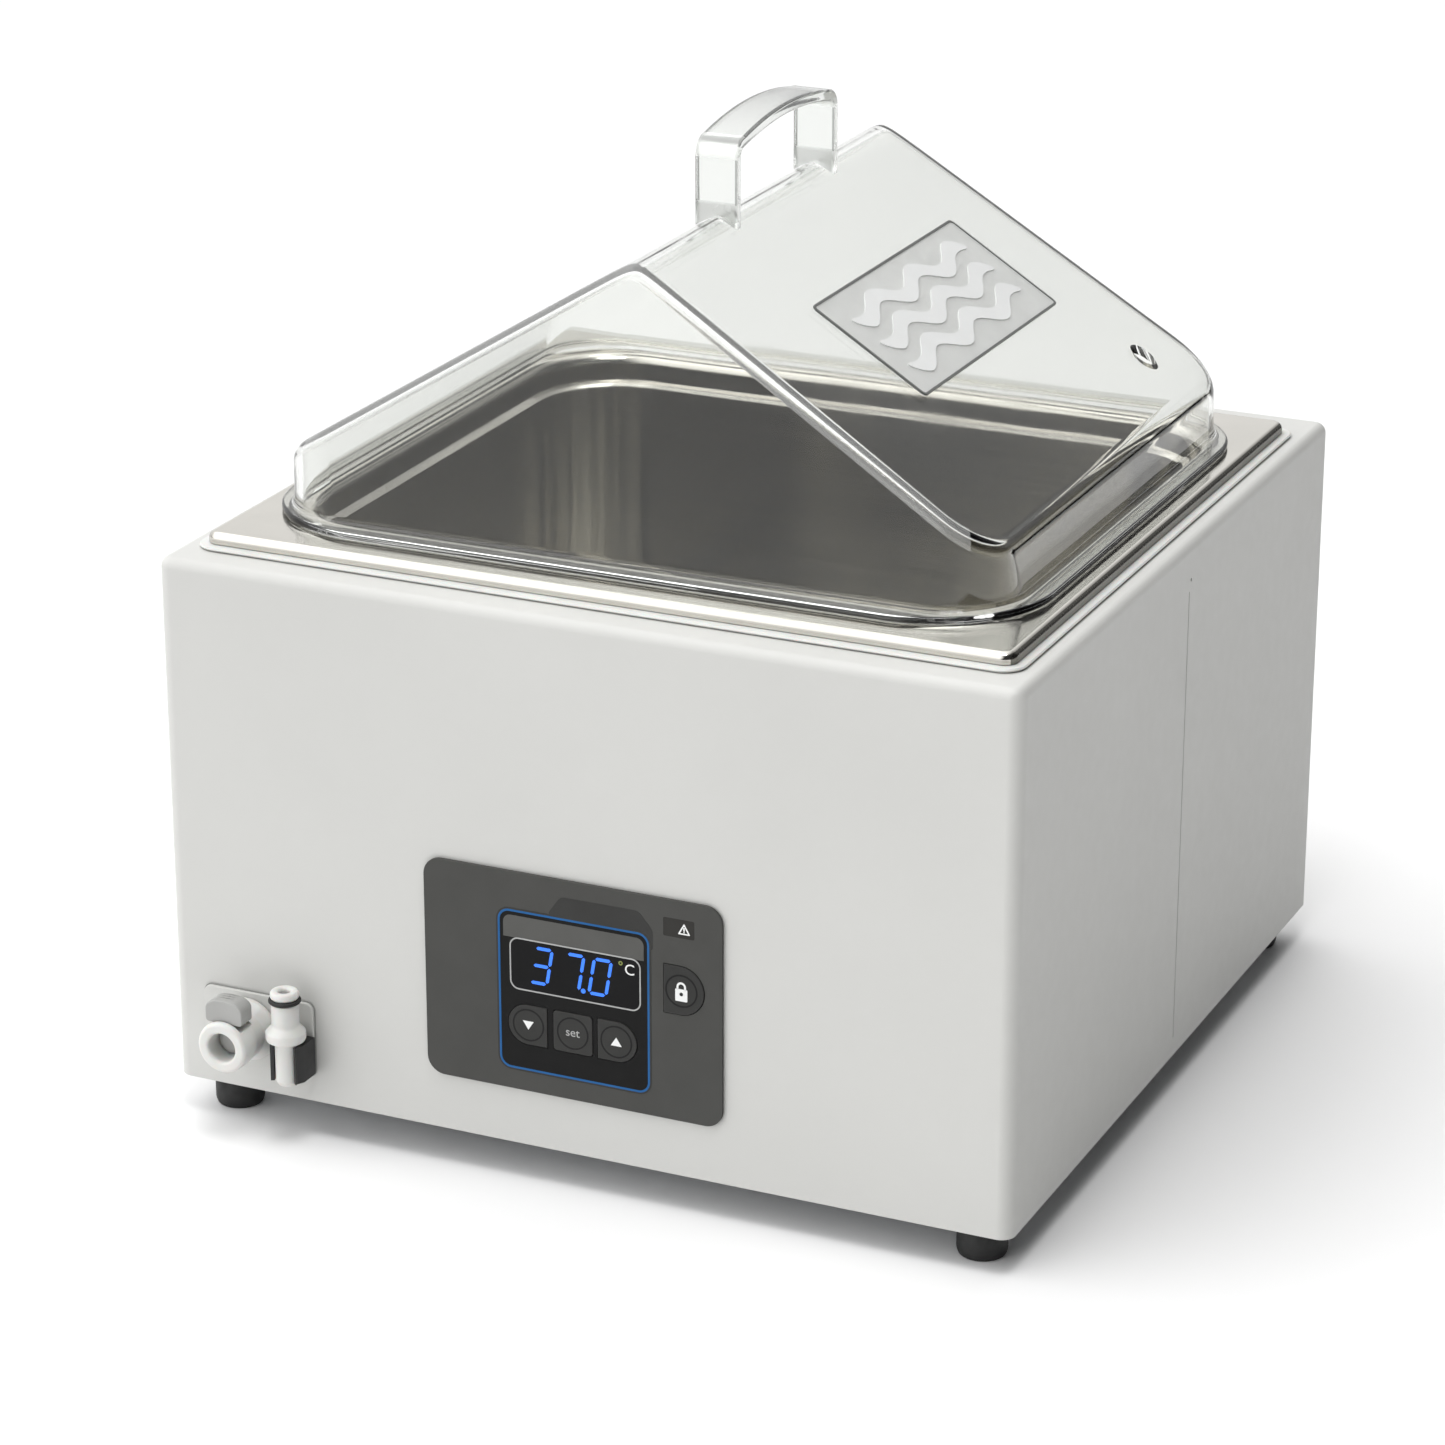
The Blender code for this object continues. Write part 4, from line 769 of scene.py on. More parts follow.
def lid_front(half_x, half_y, corner, steps=14, across=64):
    """Points from the left side, round the front-left corner and along the front to the right."""
    points = []
    for x, y in arc((0.0, 0.0), corner, 180, 270, steps):
        points.append((-half_x + corner + x, -half_y + corner + y))
    straight = half_x - corner
    for index in range(1, across):
        t = -1 + 2 * index / across
        points.append((straight * math.copysign(abs(t) ** 1.7, t), -half_y))
    return points + [(-x, y) for x, y in reversed(points[: steps + 1])]


def lid_level(half_x, half_y, corner, z):
    front = lid_front(half_x, half_y, corner)
    whole = front + [(x, -y) for x, y in reversed(front)]
    return [(x, y + TANK_Y, z) for x, y in whole]


def lid_gable(inwards, drop):
    """The crease between walls and roof, which climbs the end walls as they lean to the ridge."""
    half_y = EAVE_Y - inwards
    leaned = []
    for x, y in lid_front(EAVE_X - inwards, half_y, EAVE_CORNER - inwards):
        height = roof_z(x) - drop
        climb = max(0.0, (height - EAVE_Z) / (RIDGE_Z - EAVE_Z))
        share = min(1.0, max(0.0, -y / half_y))
        leaned.append((x, y + (EAVE_Y - RIDGE_Y) * climb * share, height))
    whole = leaned + [(x, -y, z) for x, y, z in reversed(leaned)]
    return [(x, y + TANK_Y, z) for x, y, z in whole]


def crease(radius, inset, drop, steps):
    """Rings that roll a wall over into the roof."""
    return [
        lid_gable(inset + radius - out, drop + radius - up)
        for out, up in arc((0.0, 0.0), radius, 0, 90, steps)
    ]


def lid_wall(out, z):
    return lid_level(LID_WALL_X + out, LID_WALL_Y + out, LID_CORNER + out, z)


def lid_rings():
    """The hood's section, from the roof's inside, round the flange, to the roof's outside."""
    thick = LID_THICK
    base = LID_LOW.z
    rings = list(reversed(crease(CREASE - thick, thick, thick * 1.15, 5)))
    bend = 0.004
    for out, up in arc((0.0, 0.0), bend, 180, 270, 5):
        rings.append(lid_wall(out + bend - thick, base + bend + up))
    edge = 0.0012
    for out, up in arc((0.0, edge), edge, -90, 0, 4) + arc((0.0, thick - edge), edge, 0, 90, 4):
        x, y, corner = (size + out - edge for size in (FLANGE_X, FLANGE_Y, FLANGE_CORNER))
        rings.append(lid_level(x, y, corner, base + up))
    root = 0.0025
    for out, up in arc((root, root), root, 270, 180, 5):
        rings.append(lid_wall(out, base + thick + up))
    return rings + crease(CREASE, 0.0, 0.0, CREASE_STEPS)


def make_lid():
    rings = lid_rings()
    count = len(rings[0])
    half = count // 2
    roof = (len(rings) - 1) * count
    points = [point for ring in rings for point in ring]
    faces = []
    for here in range(0, roof, count):
        for index in range(count):
            after = (index + 1) % count
            faces.append((here + index, here + after, here + count + after, here + count + index))
    for start in (0, roof):
        for index in range(half - 1):
            far = start + count - 1 - index
            faces.append((start + index, start + index + 1, far - 1, far))
    shell = solid("lid_hood", points, faces)
    shell.data.materials.append(CLEAR_LID)
    shell.data.materials.append(LID_CREASE_PAINTED_HIGHLIGHT)
    # The crease faces get the milky sheet: a painted soft highlight along the bend.
    for face in shell.data.polygons[roof - CREASE_STEPS * count : roof]:
        along = face.index % count % half
        face.material_index = 1 if 9 <= along < half - 10 else 0
    centre = (*LID_HOLE, 0.0)
    cut(shell, rod("thermometer_hole", LID_HOLE_RADIUS, EAVE_Z - 0.05, RIDGE_Z, centre=centre))
    piece(shell, "lid", "clear_polycarbonate", CLEAR_LID, "lid_shell", sharp=40.0)


HANDLE_LOW, HANDLE_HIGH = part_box("lid_handle")
HANDLE_THICK = 0.0045
HANDLE_BEND = 0.0075
HANDLE_ARCH = 0.00405
GLUE_HEIGHT = 0.0055


def make_handle():
    front, back = HANDLE_LOW.y, HANDLE_HIGH.y
    middle = (front + back) / 2
    top = HANDLE_HIGH.z - HANDLE_ARCH
    foot = RIDGE_Z - 0.012

    def lift(y):
        share = (y - middle) / (back - middle - HANDLE_BEND)
        return HANDLE_ARCH * max(0.0, 1 - share * share)

    def path(depth):
        corner = arc((front + HANDLE_BEND, top - HANDLE_BEND), HANDLE_BEND - depth, 180, 90, 10)
        points = [(front + depth, foot), (front + depth, RIDGE_Z + GLUE_HEIGHT)] + corner
        spans = 20
        reach = back - front - 2 * HANDLE_BEND
        for step in range(1, spans):
            y = front + HANDLE_BEND + reach * step / spans
            points.append((y, top - depth + lift(y)))
        return points + [(2 * middle - y, z) for y, z in reversed(points[: len(corner) + 2])]

    half = (HANDLE_HIGH.x - HANDLE_LOW.x) / 2
    outline = path(0.0) + list(reversed(path(HANDLE_THICK)))
    handle = prism("lid_grip", outline, -half, half, "x", 0.0012, 4)
    reach = half + 0.004
    notch = [reach * step / 24 for step in range(-24, 25)]
    notch = [(x, roof_z(x) + 0.0003) for x in notch]
    notch += [(reach, foot - 0.01), (-reach, foot - 0.01)]
    cut(handle, prism("ridge_notch", notch, front - 0.01, back + 0.01))
    handle.data.materials.clear()
    for look in (CLEAR_HANDLE, FROSTED, STRAP_EDGE_PAINTED_SHADE, STRAP_BEND_PAINTED_LIGHT):
        handle.data.materials.append(look)
    bend_z = top - HANDLE_BEND
    bend_y = (back - front) / 2 - HANDLE_BEND
    for face in handle.data.polygons:
        at = face.center
        across = abs(face.normal.x)
        if at.z < RIDGE_Z + GLUE_HEIGHT - 1e-4:
            face.material_index = 1
        # The bevelled sides of the upright parts get the painted shade.
        elif at.z < bend_z and 0.25 < across < 0.97:
            face.material_index = 2
        # The bends get the paler sheet, painted light over the dark band.
        elif at.z > bend_z and abs(at.y - middle) > bend_y and across < 0.97:
            face.material_index = 3
    piece(handle, "lid", "clear_polycarbonate", CLEAR_HANDLE, "lid_handle")


def on_slope(x, y, proud):
    """A point a little above the right-hand slope of the roof."""
    normal = Vector((ROOF_SLOPE, 0.0, 1.0)).normalized()
    return Vector((x, y, roof_z(x))) + normal * proud


BADGE = (0.0438, 0.0886, CASE_FRONT + 0.1088, CASE_FRONT + 0.2420)


def slope_plate(name, outline, low, high):
    return loft(name, [[on_slope(x, y, level) for x, y in outline] for level in (low, high)])


def make_badge():
    """A frosted plate on the lid's slope, with three rows of raised water waves."""
    low_x, high_x, low_y, high_y = BADGE
    plate = slope_plate("lid_badge", outline_box(*BADGE, 0.002), 0.0001, 0.0007)
    piece(plate, "lid", "clear_polycarbonate", BADGE_FILM)
    outer, inner = (outline_box(*BADGE, 0.002, grow=grow) for grow in (0.0001, -0.0007))
    levels = ((outer, 0.0003), (outer, 0.0010), (inner, 0.0010), (inner, 0.0003))
    rings = [[on_slope(x, y, level) for x, y in outline] for outline, level in levels]
    piece(loft("badge_frame", rings, closed=True), "lid", "clear_polycarbonate", BADGE_EDGE)
    waves = []
    length = high_y - low_y
    for row in range(3):
        middle_x = low_x + (high_x - low_x) * (row + 1) / 4
        upper, lower = [], []
        for step in range(73):
            share = step / 72
            y = low_y + length * (0.08 + 0.84 * share)
            swing = 0.0030 * math.sin(share * math.tau * 3)
            half = 0.0028 * min(1.0, 12 * share, 12 * (1 - share)) ** 0.5 + 0.0002
            upper.append((middle_x + swing + half, y))
            lower.append((middle_x + swing - half, y))
        waves.append(slope_plate(f"wave_{row}", upper + list(reversed(lower)), 0.0006, 0.0011))
    piece(join("badge_waves", *waves), "lid", "clear_polycarbonate", BADGE_WAVES)


# --- Control panel ---

PANEL_MID = (PANEL_LOW.x + PANEL_HIGH.x) / 2
PRINT_STEP = 0.00006
STRIP_FOOT = CASE_BOTTOM + 0.0834
TAB_TOP = CASE_BOTTOM + 0.1026
KEY_NODES = ("key_down", "key_set", "key_up", "key_lock")
OUTLINE_BOX = (-0.0309, 0.0300, CASE_BOTTOM + 0.0310, CASE_BOTTOM + 0.0943)


def half_round(low, high, round_side, grow=0.0, steps=24):
    """A key's outline that is square on one side and round on the other."""
    height = high.z - low.z + 2 * grow
    width = high.x - low.x + 2 * grow
    middle_z = (low.z + high.z) / 2
    radius = min(height / 2, width * 0.62)
    straight = (low.x + high.x) / 2 - round_side * width / 2
    centre_x = straight + round_side * (width - radius)
    curve = [
        (centre_x + round_side * radius * math.cos(angle), middle_z + height / 2 * math.sin(angle))
        for angle in (math.pi * (step / steps - 0.5) for step in range(steps + 1))
    ]
    square = [(straight, middle_z - height / 2)]
    return square + curve + [(straight, middle_z + height / 2)]


def key_outline(node, grow=0.0):
    low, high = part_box(node)
    if node == "key_set":
        return outline_box(low.x - grow, high.x + grow, low.z - grow, high.z + grow, 0.0014)
    return half_round(low, high, -1 if node == "key_down" else 1, grow)


def panel_piece(made, look, *nodes, body="base", slot="panel_grey"):
    return piece(made, body, slot, look, *nodes)


def printed(name, outlines, level, look, face=PANEL_FACE, **rides):
    """Thin ink or film shapes that stand a few hundredths of a millimetre off a face."""
    front = face - level * PRINT_STEP
    shapes = [prism(f"{name}_part", outline, front, face + 0.0001) for outline in outlines]
    return panel_piece(join(name, *shapes), look, **rides)


def band(name, outer, inner, level, look, face=PANEL_FACE, **rides):
    """A closed printed line between two outlines with the same number of points."""
    front, back = face - level * PRINT_STEP, face + 0.0001
    section = ((outer, back), (outer, front), (inner, front), (inner, back))
    rings = [[(x, y, z) for x, z in outline] for outline, y in section]
    return panel_piece(loft(name, rings, closed=True), look, **rides)


def key_holes(target, nodes):
    for node in nodes:
        hole = key_outline(node, 0.00025)
        cut(target, prism(f"{node}_gap", hole, PANEL_FACE - 0.01, PANEL_FACE + 0.01))


def make_overlay():
    outline = outline_box(PANEL_LOW.x, PANEL_HIGH.x, PANEL_LOW.z, PANEL_HIGH.z, 0.007, 12)
    overlay = prism("panel_overlay", outline, PANEL_FACE, PANEL_HIGH.y, bevel=0.00025)
    key_holes(overlay, KEY_NODES)
    panel_piece(overlay, PANEL_FILM, "control_panel")
    edge = (*OUTLINE_BOX, 0.0046)
    outline = outline_box(*edge, 10, -0.0006)
    field = prism("panel_field", outline, PANEL_FACE - PRINT_STEP, PANEL_FACE + 0.0002)
    key_holes(field, KEY_NODES[:3])
    panel_piece(field, PANEL_FIELD)

    low_x, high_x, low_z, high_z = OUTLINE_BOX
    inset, radius = 0.0022, 0.003
    strip = [(x, STRIP_FOOT) for x in (low_x + inset, high_x - inset)]
    top = high_z - inset - radius
    strip += arc((high_x - inset - radius, top), radius, 0, 90, 6)
    strip += arc((low_x + inset + radius, top), radius, 90, 180, 6)
    printed("panel_strip", [strip], 2, PANEL_STRIP)
    tab = [(-0.0108, high_z + 0.0006), (-0.0054, TAB_TOP), (0.0258, TAB_TOP)]
    tab += [(0.0314, high_z + 0.0016), (0.0314, high_z - 0.0060), (0.0302, high_z - 0.0060)]
    tab.append((0.0286, high_z + 0.0006))
    printed("panel_tab", [soften(tab, 0.0018, closed=True)], 1, PANEL_TAB)
    on_edge = outline_box(*edge, 10, 0.0)
    band("panel_blue_line", on_edge, outline_box(*edge, 10, -0.0008), 2, PRINT_BLUE)
    band("panel_dark_line", outline_box(*edge, 10, 0.0007), on_edge, 1.5, PANEL_TAB)


def segment(start, end, width):
    """One bar of a digit, with pointed ends."""
    start, end = Vector(start), Vector(end)
    along = (end - start).normalized()
    side = Vector((-along.y, along.x)) * width / 2
    tip = along * width / 2
    upper = (start, start + tip + side, end - tip + side)
    lower = (end, end - tip - side, start + tip - side)
    return [tuple(point) for point in upper + lower]


SEGMENTS = {"3": "abgcd", "7": "abc", "0": "abcdef"}
DIGIT_WIDTH = 0.0068
DIGIT_HEIGHT = 0.0138
DIGIT_STROKE = 0.00128
DIGIT_SLANT = 0.17
DIGIT_GAP = 0.00038


def digit(symbol, left, base):
    """A slanted seven-bar digit."""
    near, half, far = DIGIT_GAP, DIGIT_HEIGHT / 2, DIGIT_WIDTH - DIGIT_GAP
    low, high = (near, half - near), (half + near, DIGIT_HEIGHT - near)
    bars = {
        "a": ((near, DIGIT_HEIGHT), (far, DIGIT_HEIGHT)),
        "b": ((DIGIT_WIDTH, high[1]), (DIGIT_WIDTH, high[0])),
        "c": ((DIGIT_WIDTH, low[1]), (DIGIT_WIDTH, low[0])),
        "d": ((near, 0.0), (far, 0.0)),
        "e": ((0.0, low[1]), (0.0, low[0])),
        "f": ((0.0, high[1]), (0.0, high[0])),
        "g": ((near, half), (far, half)),
    }
    outlines = [segment(*bars[name], DIGIT_STROKE) for name in SEGMENTS[symbol]]
    return [[(left + x + z * DIGIT_SLANT, base + z) for x, z in shape] for shape in outlines]


def lettering(name, text, size, place, face):
    """Plain letters that face the operator, centred on place."""
    curve = bpy.data.curves.new(name, "FONT")
    curve.body = text
    curve.size = size
    curve.align_x = "CENTER"
    curve.align_y = "CENTER"
    curve.extrude = PRINT_STEP
    curve.resolution_u = 4
    writer = new_object(name, curve)
    mesh = evaluated_mesh(writer)
    bpy.data.objects.remove(writer)
    turn = Matrix.Rotation(math.radians(90), 4, "X")
    mesh.transform(Matrix.Translation((place[0], face, place[1])) @ turn)
    mesh.name = name
    mesh.materials.clear()
    return new_object(name, mesh)


def circle(centre_x, centre_z, radius, steps=40):
    return arc((centre_x, centre_z), radius, 0, 360 - 360 / steps, steps - 1)


def make_display():
    low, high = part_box("display_window")
    glass_face = PANEL_FACE - 3 * PRINT_STEP
    outline = outline_box(low.x, high.x, low.z, high.z, 0.0030, 8)
    pane = prism("display_glass", outline, glass_face, high.y, bevel=0.00015)
    on_glass = {"face": glass_face, "slot": "screen_black"}
    panel_piece(pane, SCREEN, "display_window", slot="screen_black")
    edge = (low.x, high.x, low.z, high.z, 0.0030)
    band("window_line", outline_box(*edge, 10, 0.0006), outline_box(*edge, 10, 0.0001), 4, PRINT_GREY)
    base = (low.z + high.z) / 2 - DIGIT_HEIGHT / 2 + 0.0006
    shapes = digit("3", -0.0180, base) + digit("7", -0.0052, base) + digit("0", 0.0058, base)
    shapes.append(circle(-0.0052 + DIGIT_WIDTH + 0.0019, base + 0.0002, 0.00095, 16))
    printed("display_digits", shapes, 1, DIGIT_BLUE, **on_glass)
    unit = lettering("display_unit", "C", 0.0060, (0.0222, base + 0.0118), glass_face)
    panel_piece(unit, PRINT_WHITE, slot="screen_black")
    outer, inner = (circle(0.0186, base + 0.0140, radius, 20) for radius in (0.00085, 0.00040))
    band("display_degree", outer, inner, 1, PRINT_GREEN, **on_glass)


def key_symbols(node, x, z):
    """The white marks on a key's cap: an arrow, or a padlock's body and bow."""
    if node == "key_lock":
        body = [(x - 0.0024, z - 0.0040), (x + 0.0024, z - 0.0040)]
        body += [(x + 0.0024, z + 0.0008), (x - 0.0024, z + 0.0008)]
        bow = [(x + 0.0019, z + 0.0006)] + arc((x, z + 0.0016), 0.0019, 0, 180, 14)
        bow += [(x - 0.0019, z + 0.0006), (x - 0.0011, z + 0.0006)]
        bow += arc((x, z + 0.0016), 0.0011, 180, 0, 14) + [(x + 0.0011, z + 0.0006)]
        return [soften(body, 0.0004, closed=True), bow]
    tip = -1 if node == "key_down" else 1
    base = z - tip * 0.0016
    return [[(x - 0.0022, base), (x + 0.0022, base), (x, z + tip * 0.0018)]]


KEY_SHIFT = {"key_down": 0.0003, "key_set": 0.0, "key_up": -0.0003, "key_lock": -0.0009}


def make_keys():
    for node in KEY_NODES:
        body = "_".join(reversed(node.split("_")))
        low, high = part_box(node)
        face = low.y
        rides = {"body": body, "slot": "key_dark"}
        on_cap = {"face": face, **rides}
        cap = prism(f"{body}_cap", key_outline(node), face, PANEL_HIGH.y + 0.001, bevel=0.0003)
        panel_piece(cap, KEY_CAP, node, **rides)
        x = (low.x + high.x) / 2 + KEY_SHIFT[node]
        z = (low.z + high.z) / 2
        band(f"{body}_ring", circle(x, z, 0.0064), circle(x, z, 0.0058), 1, KEY_RING, **on_cap)
        if node == "key_set":
            word = lettering(f"{body}_mark", "set", 0.0048, (x, z + 0.0003), face)
            panel_piece(word, PRINT_GREY, **rides)
        else:
            printed(f"{body}_mark", key_symbols(node, x, z), 1, PRINT_WHITE, **on_cap)
        if node == "key_lock":
            hole = circle(x, z - 0.0012, 0.0007, 16)
            printed(f"{body}_keyhole", [hole], 2, KEY_CAP, **on_cap)


def make_alarm():
    """The alarm's lens, with a small triangle that holds a bar and a dot."""
    low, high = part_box("alarm_lens")
    outline = outline_box(low.x, high.x, low.z, high.z, 0.0006)
    lens = prism("alarm_glass", outline, PANEL_FACE - 0.5 * PRINT_STEP, high.y)
    panel_piece(lens, TINT, "alarm_lens", slot="alarm_tint")
    x = high.x - 0.0040
    z = (low.z + high.z) / 2 - 0.0002
    outer = [(x - 0.0025, z - 0.0019), (x + 0.0025, z - 0.0019), (x, z + 0.0025)]
    inner = [(x - 0.0016, z - 0.0014), (x + 0.0016, z - 0.0014), (x, z + 0.0014)]
    outer = soften(outer, 0.0005, closed=True)
    inner = soften(inner, 0.0002, closed=True)
    band("alarm_sign", outer, inner, 1.5, PRINT_WHITE, slot="alarm_tint")
    bar = outline_box(x - 0.0003, x + 0.0003, z - 0.0006, z + 0.0008, 0.0002)
    dot = circle(x, z - 0.0010, 0.00028, 12)
    printed("alarm_bar", [bar, dot], 1.5, PRINT_WHITE, slot="alarm_tint")


# --- Drain ---


def make_drain():
    low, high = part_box("drain_plate")
    outline = outline_box(low.x, high.x, low.z, high.z, 0.003, 8)
    plate = prism("drain_backplate", outline, low.y, high.y, bevel=0.0003)
    cut(plate, socket_bore("plate_bore"))
    piece(plate, "base", "white_plastic", COAT, "drain_plate")
    # A thin grey seal behind the plate's edge: painted shadow for the plate's dark outline.
    rings = []
    for out, y in ((SHADOW_LINE_EDGE, 0.0), (SHADOW_LINE_EDGE, SHADOW_LINE_THICK), (-0.0006, SHADOW_LINE_THICK), (-0.0006, 0.0)):
        outline = outline_box(low.x, high.x, low.z, high.z, 0.003, 8, out)
        rings.append([(x, high.y - y, z) for x, z in outline])
    seal = loft("drain_plate_shadow_line_seal", rings, closed=True)
    piece(seal, "base", "grey_plastic", SHADOW_LINE_GREY)
    front = CASE_FRONT - SOCKET_LOW.y
    profile = [
        (0.0057, 0.0125), (0.0057, front - 0.0008), (0.0063, front), (0.0092, front),
        (0.0101, front - 0.0010), (0.0103, front - 0.0080), (0.0098, front - 0.0100),
        (0.0098, 0.0075), (0.0125, 0.0040), (0.0125, 0.0021), (0.0088, 0.0021), (0.0088, -0.0125),
        (0.0050, -0.0125), (0.0050, -0.0330), (0.0030, -0.0330), (0.0030, 0.0060),
        (0.0057, 0.0065), (0.0057, 0.0095),
    ]
    socket = turned("drain_coupling", soften(profile, 0.0006, 3), "y", SOCKET_AT, 64)
    slot_low = (SOCKET_X - 0.0094, SOCKET_LOW.y + 0.0022, SOCKET_Z + 0.0066)
    cut_block(socket, slot_low, (SOCKET_X + 0.0094, SOCKET_LOW.y + 0.0112, SOCKET_Z + 0.0200))
    piece(socket, "base", "white_plastic", WHITE_PLASTIC, "drain_socket")
    make_latch()
    profile = [(0.0, 0.0160), (0.0036, 0.0160), (0.0054, 0.0148), (0.0054, 0.0125)]
    profile += [(0.0026, 0.0120), (0.0026, -0.0100), (0.0, -0.0100)]
    poppet = turned("valve_poppet", soften(profile, 0.0006, 3), "y", SOCKET_AT)
    piece(poppet, "poppet", "grey_plastic", GREY_PLASTIC, "drain_poppet")
    make_insert()


def make_latch():
    """The thumb latch: a block with a crowned top and three grip grooves."""
    low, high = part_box("drain_latch")
    half = (high.x - low.x) / 2 - 0.0010
    right = [(half, low.z), (half, high.z - 0.0026), (half * 0.62, high.z - 0.0004)]
    outline = [(-half, low.z)] + right + [(0.0, high.z)]
    outline += [(-x, z) for x, z in reversed(right[1:])]
    outline = [(SOCKET_X + x, z) for x, z in outline]
    latch = prism("thumb_latch", soften(outline, 0.0016, 5, closed=True), low.y, high.y, bevel=0.0006)
    reach = half + 0.001
    for rib in range(3):
        y = low.y + 0.0028 + 0.0018 * rib
        groove_low = (SOCKET_X - reach, y, high.z - 0.00035)
        cut_block(latch, groove_low, (SOCKET_X + reach, y + 0.0007, high.z + 0.002))
    piece(latch, "latch", "grey_plastic", GREY_PLASTIC, "drain_latch")


def make_insert():
    """The parked hose insert, its o-ring, and the spring clip that holds it."""
    low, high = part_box("drain_insert")
    centre = ((low.x + high.x) / 2, (low.y + high.y) / 2, low.z)
    profile = [
        (0.0022, 0.0150), (0.0022, 0.0), (0.0032, 0.0), (0.0043, 0.0018), (0.0043, 0.0180),
        (0.0072, 0.0181), (0.0076, 0.0191), (0.0076, 0.0216), (0.0055, 0.0240), (0.0052, 0.0246),
        (0.0052, 0.0330), (0.0046, 0.0333), (0.0046, 0.0352), (0.0054, 0.0355), (0.0055, 0.0372),
        (0.0048, 0.0382), (0.0030, 0.0382), (0.0022, 0.0374), (0.0022, 0.0250),
    ]
    insert = turned("hose_insert", soften(profile, 0.0005, 3), centre=centre)
    piece(insert, "insert", "white_plastic", WHITE_PLASTIC, "drain_insert")
    section = [(0.0053 + x, 0.03425 + z) for x, z in circle(0.0, 0.0, 0.0009, 16)]
    ring = turned("insert_seal", section, centre=centre)
    piece(ring, "insert", "black_rubber", RUBBER, "insert_o_ring")

    low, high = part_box("insert_clip")
    reach = high.x - centre[0]

    def on_bore(angles):
        return [(0.0047 * math.cos(a), centre[1] + 0.0047 * math.sin(a)) for a in angles]

    right = [(reach, high.y), (reach, centre[1] + 0.0010), (reach - 0.0016, centre[1] - 0.0018)]
    right += [(0.0042 + 0.0012, low.y), (0.0042, low.y + 0.0008)] + on_bore((-0.46, -0.2))
    left = [(-x, y) for x, y in reversed(right)]
    outline = right + on_bore([math.pi * step / 12 for step in range(13)]) + left
    outline = [(centre[0] + x, y) for x, y in outline]
    clip = prism("spring_clip", outline, low.z, high.z, "z", 0.0003)
    piece(clip, "base", "black_plastic", BLACK_PLASTIC, "insert_clip")


# --- CAD nodes that stay as they are ---

KEPT = (
    (ZINC, ("base_plate", "tank_clamp_left", "tank_clamp_right", "overtemp_cutout", "socket_nut",
            *(f"foot_screw_{place}" for place in FOOT_PLACES))),
    (BRIGHT_STEEL, ("temp_probe", "tank_drain_spigot")),
    (BLACK_PLASTIC, ("display_module", "mains_inlet", "fuse_drawer", "switch_rocker")),
    (BOARD, ("display_board", "power_board")),
    (BRASS, ("fuse", "earth_stud")),
    (GREY_LEAD, ("mains_lead", "display_lead")),
    (BROWN_LEAD, ("heater_lead",)),
    (FELT, ("tank_insulation",)),
    (FOIL, ("heater_mat",)),
    (RUBBER, ("key_mat",)),
    (SILICONE, ("drain_hose",)),
)


def dress_kept_nodes():
    for look, nodes in KEPT:
        for node in nodes:
            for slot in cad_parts[node].material_slots:
                slot.material = look


# --- Floor, light and camera ---


def make_floor():
    ends = ((-1, -1), (1, -1), (1, 1), (-1, 1))
    corners = [(FLOOR_REACH * x, FLOOR_REACH * y, 0.0) for x, y in ends]
    floor = solid("studio_floor", corners, [(0, 1, 2, 3)])
    look = Look("studio_floor", (0.92, 0.92, 0.92, 1.0), 0.8)
    tones = [(end, (tone, tone, tone, 1.0)) for end, tone in ((0.3, 0.915), (0.7, 0.925))]
    look.join(look.ramp(look.noise(3.0, 2.0), *tones), look.shader.inputs["Base Color"])
    floor.data.materials.append(look.material)


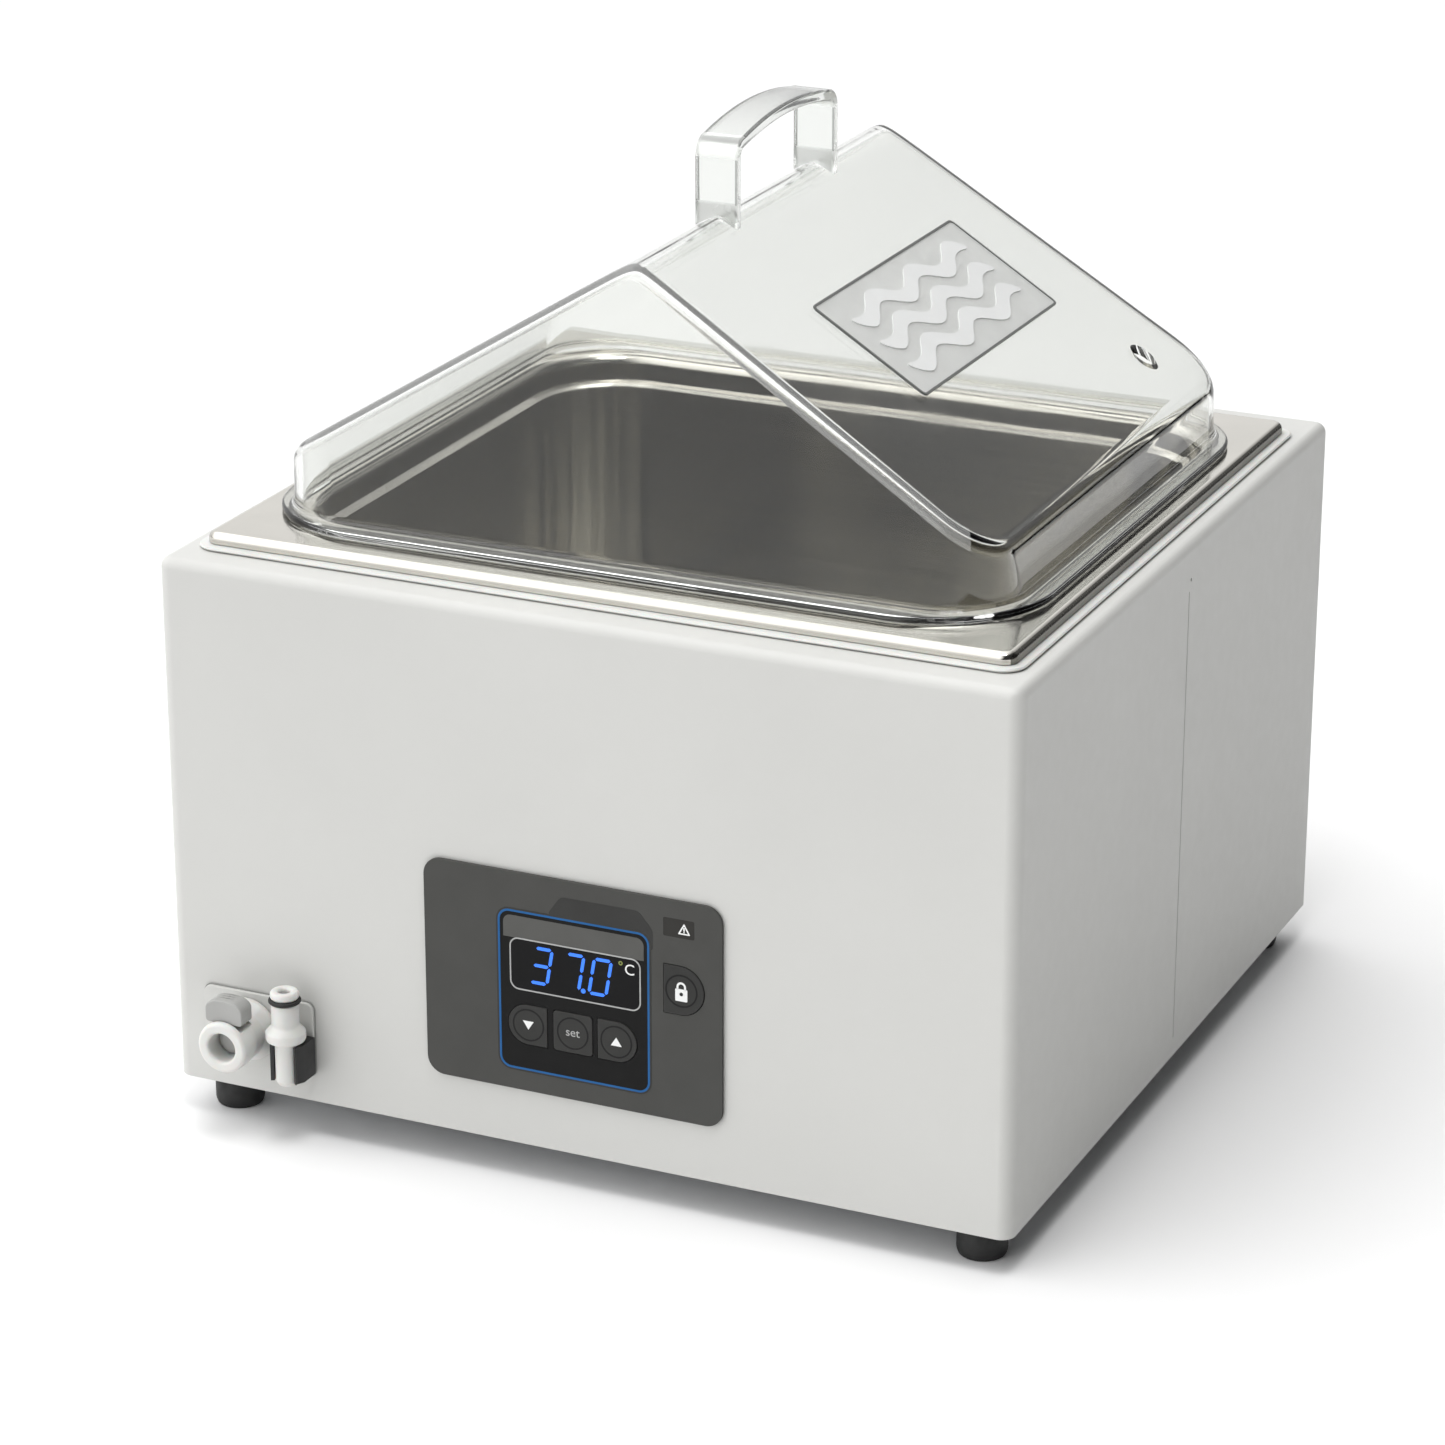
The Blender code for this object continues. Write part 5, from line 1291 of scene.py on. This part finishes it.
FLOOR_REACH = 12.0
LAMP_AT = (0.30, -0.50, 1.75)
LAMP_AIM = (0.05, -0.10, 0.25)
SKY_BASE = 0.04
SKY_LOBES = (
    # towards, where it starts and is full as a cosine, brightness
    ((-0.55, -0.65, 0.45), 0.60, 0.98, 1.9),
    ((-0.28, 0.10, 1.00), 0.66, 0.98, 1.5),
    ((-0.75, 0.60, 0.35), 0.50, 0.95, 1.0),
    ((0.15, 0.85, 0.55), 0.80, 0.98, 0.35),
)


def make_sky():
    """A soft dome: broad lobes of light with a dim rest."""
    world = bpy.data.worlds.new("studio_sky")
    bpy.context.scene.world = world
    world.use_nodes = True
    sky = Nodes(world.node_tree)
    background = sky.tree.nodes["Background"]
    background.inputs["Color"].default_value = (1.0, 1.0, 1.0, 1.0)
    place = sky.add("ShaderNodeTexCoord").outputs["Generated"]
    total = None
    for direction, start, end, strength in SKY_LOBES:
        towards = {1: Vector(direction).normalized()}
        dot = sky.add("ShaderNodeVectorMath", towards, operation="DOT_PRODUCT")
        sky.join(place, dot.inputs[0])
        values = {"From Min": start, "From Max": end, "To Min": 0.0, "To Max": strength}
        lobe = sky.add("ShaderNodeMapRange", values, interpolation_type="SMOOTHSTEP")
        sky.join(dot.outputs["Value"], lobe.inputs["Value"])
        add = sky.add("ShaderNodeMath", {1: SKY_BASE}, operation="ADD")
        sky.join(lobe.outputs["Result"], add.inputs[0])
        if total is not None:
            sky.join(total, add.inputs[1])
        total = add.outputs["Value"]
    sky.join(total, background.inputs["Strength"])


def make_lamp():
    light = bpy.data.lights.new("overhead_softbox", "AREA")
    light.size = 0.6
    light.energy = 10.0
    lamp = new_object("overhead_softbox", light)
    lamp.location = LAMP_AT
    lamp.rotation_euler = (Vector(LAMP_AIM) - lamp.location).to_track_quat("-Z", "Y").to_euler()


def make_camera():
    data = bpy.data.cameras.new("view")
    data.sensor_width = 36.0
    data.lens = 118.65
    camera = new_object("view", data)
    camera.location = (0.70276, CASE_FRONT - 1.41563, 0.78965)
    camera.rotation_euler = (math.radians(90 - 20.939), 0.0, math.radians(24.482))
    bpy.context.scene.camera = camera


make_camera()
make_floor()
make_sky()
make_lamp()
bpy.context.scene.view_settings.view_transform = "Standard"

make_casing()
make_feet()
make_tank()
make_tray()
make_lid()
make_handle()
make_badge()
make_overlay()
make_display()
make_keys()
make_alarm()
make_drain()
dress_kept_nodes()
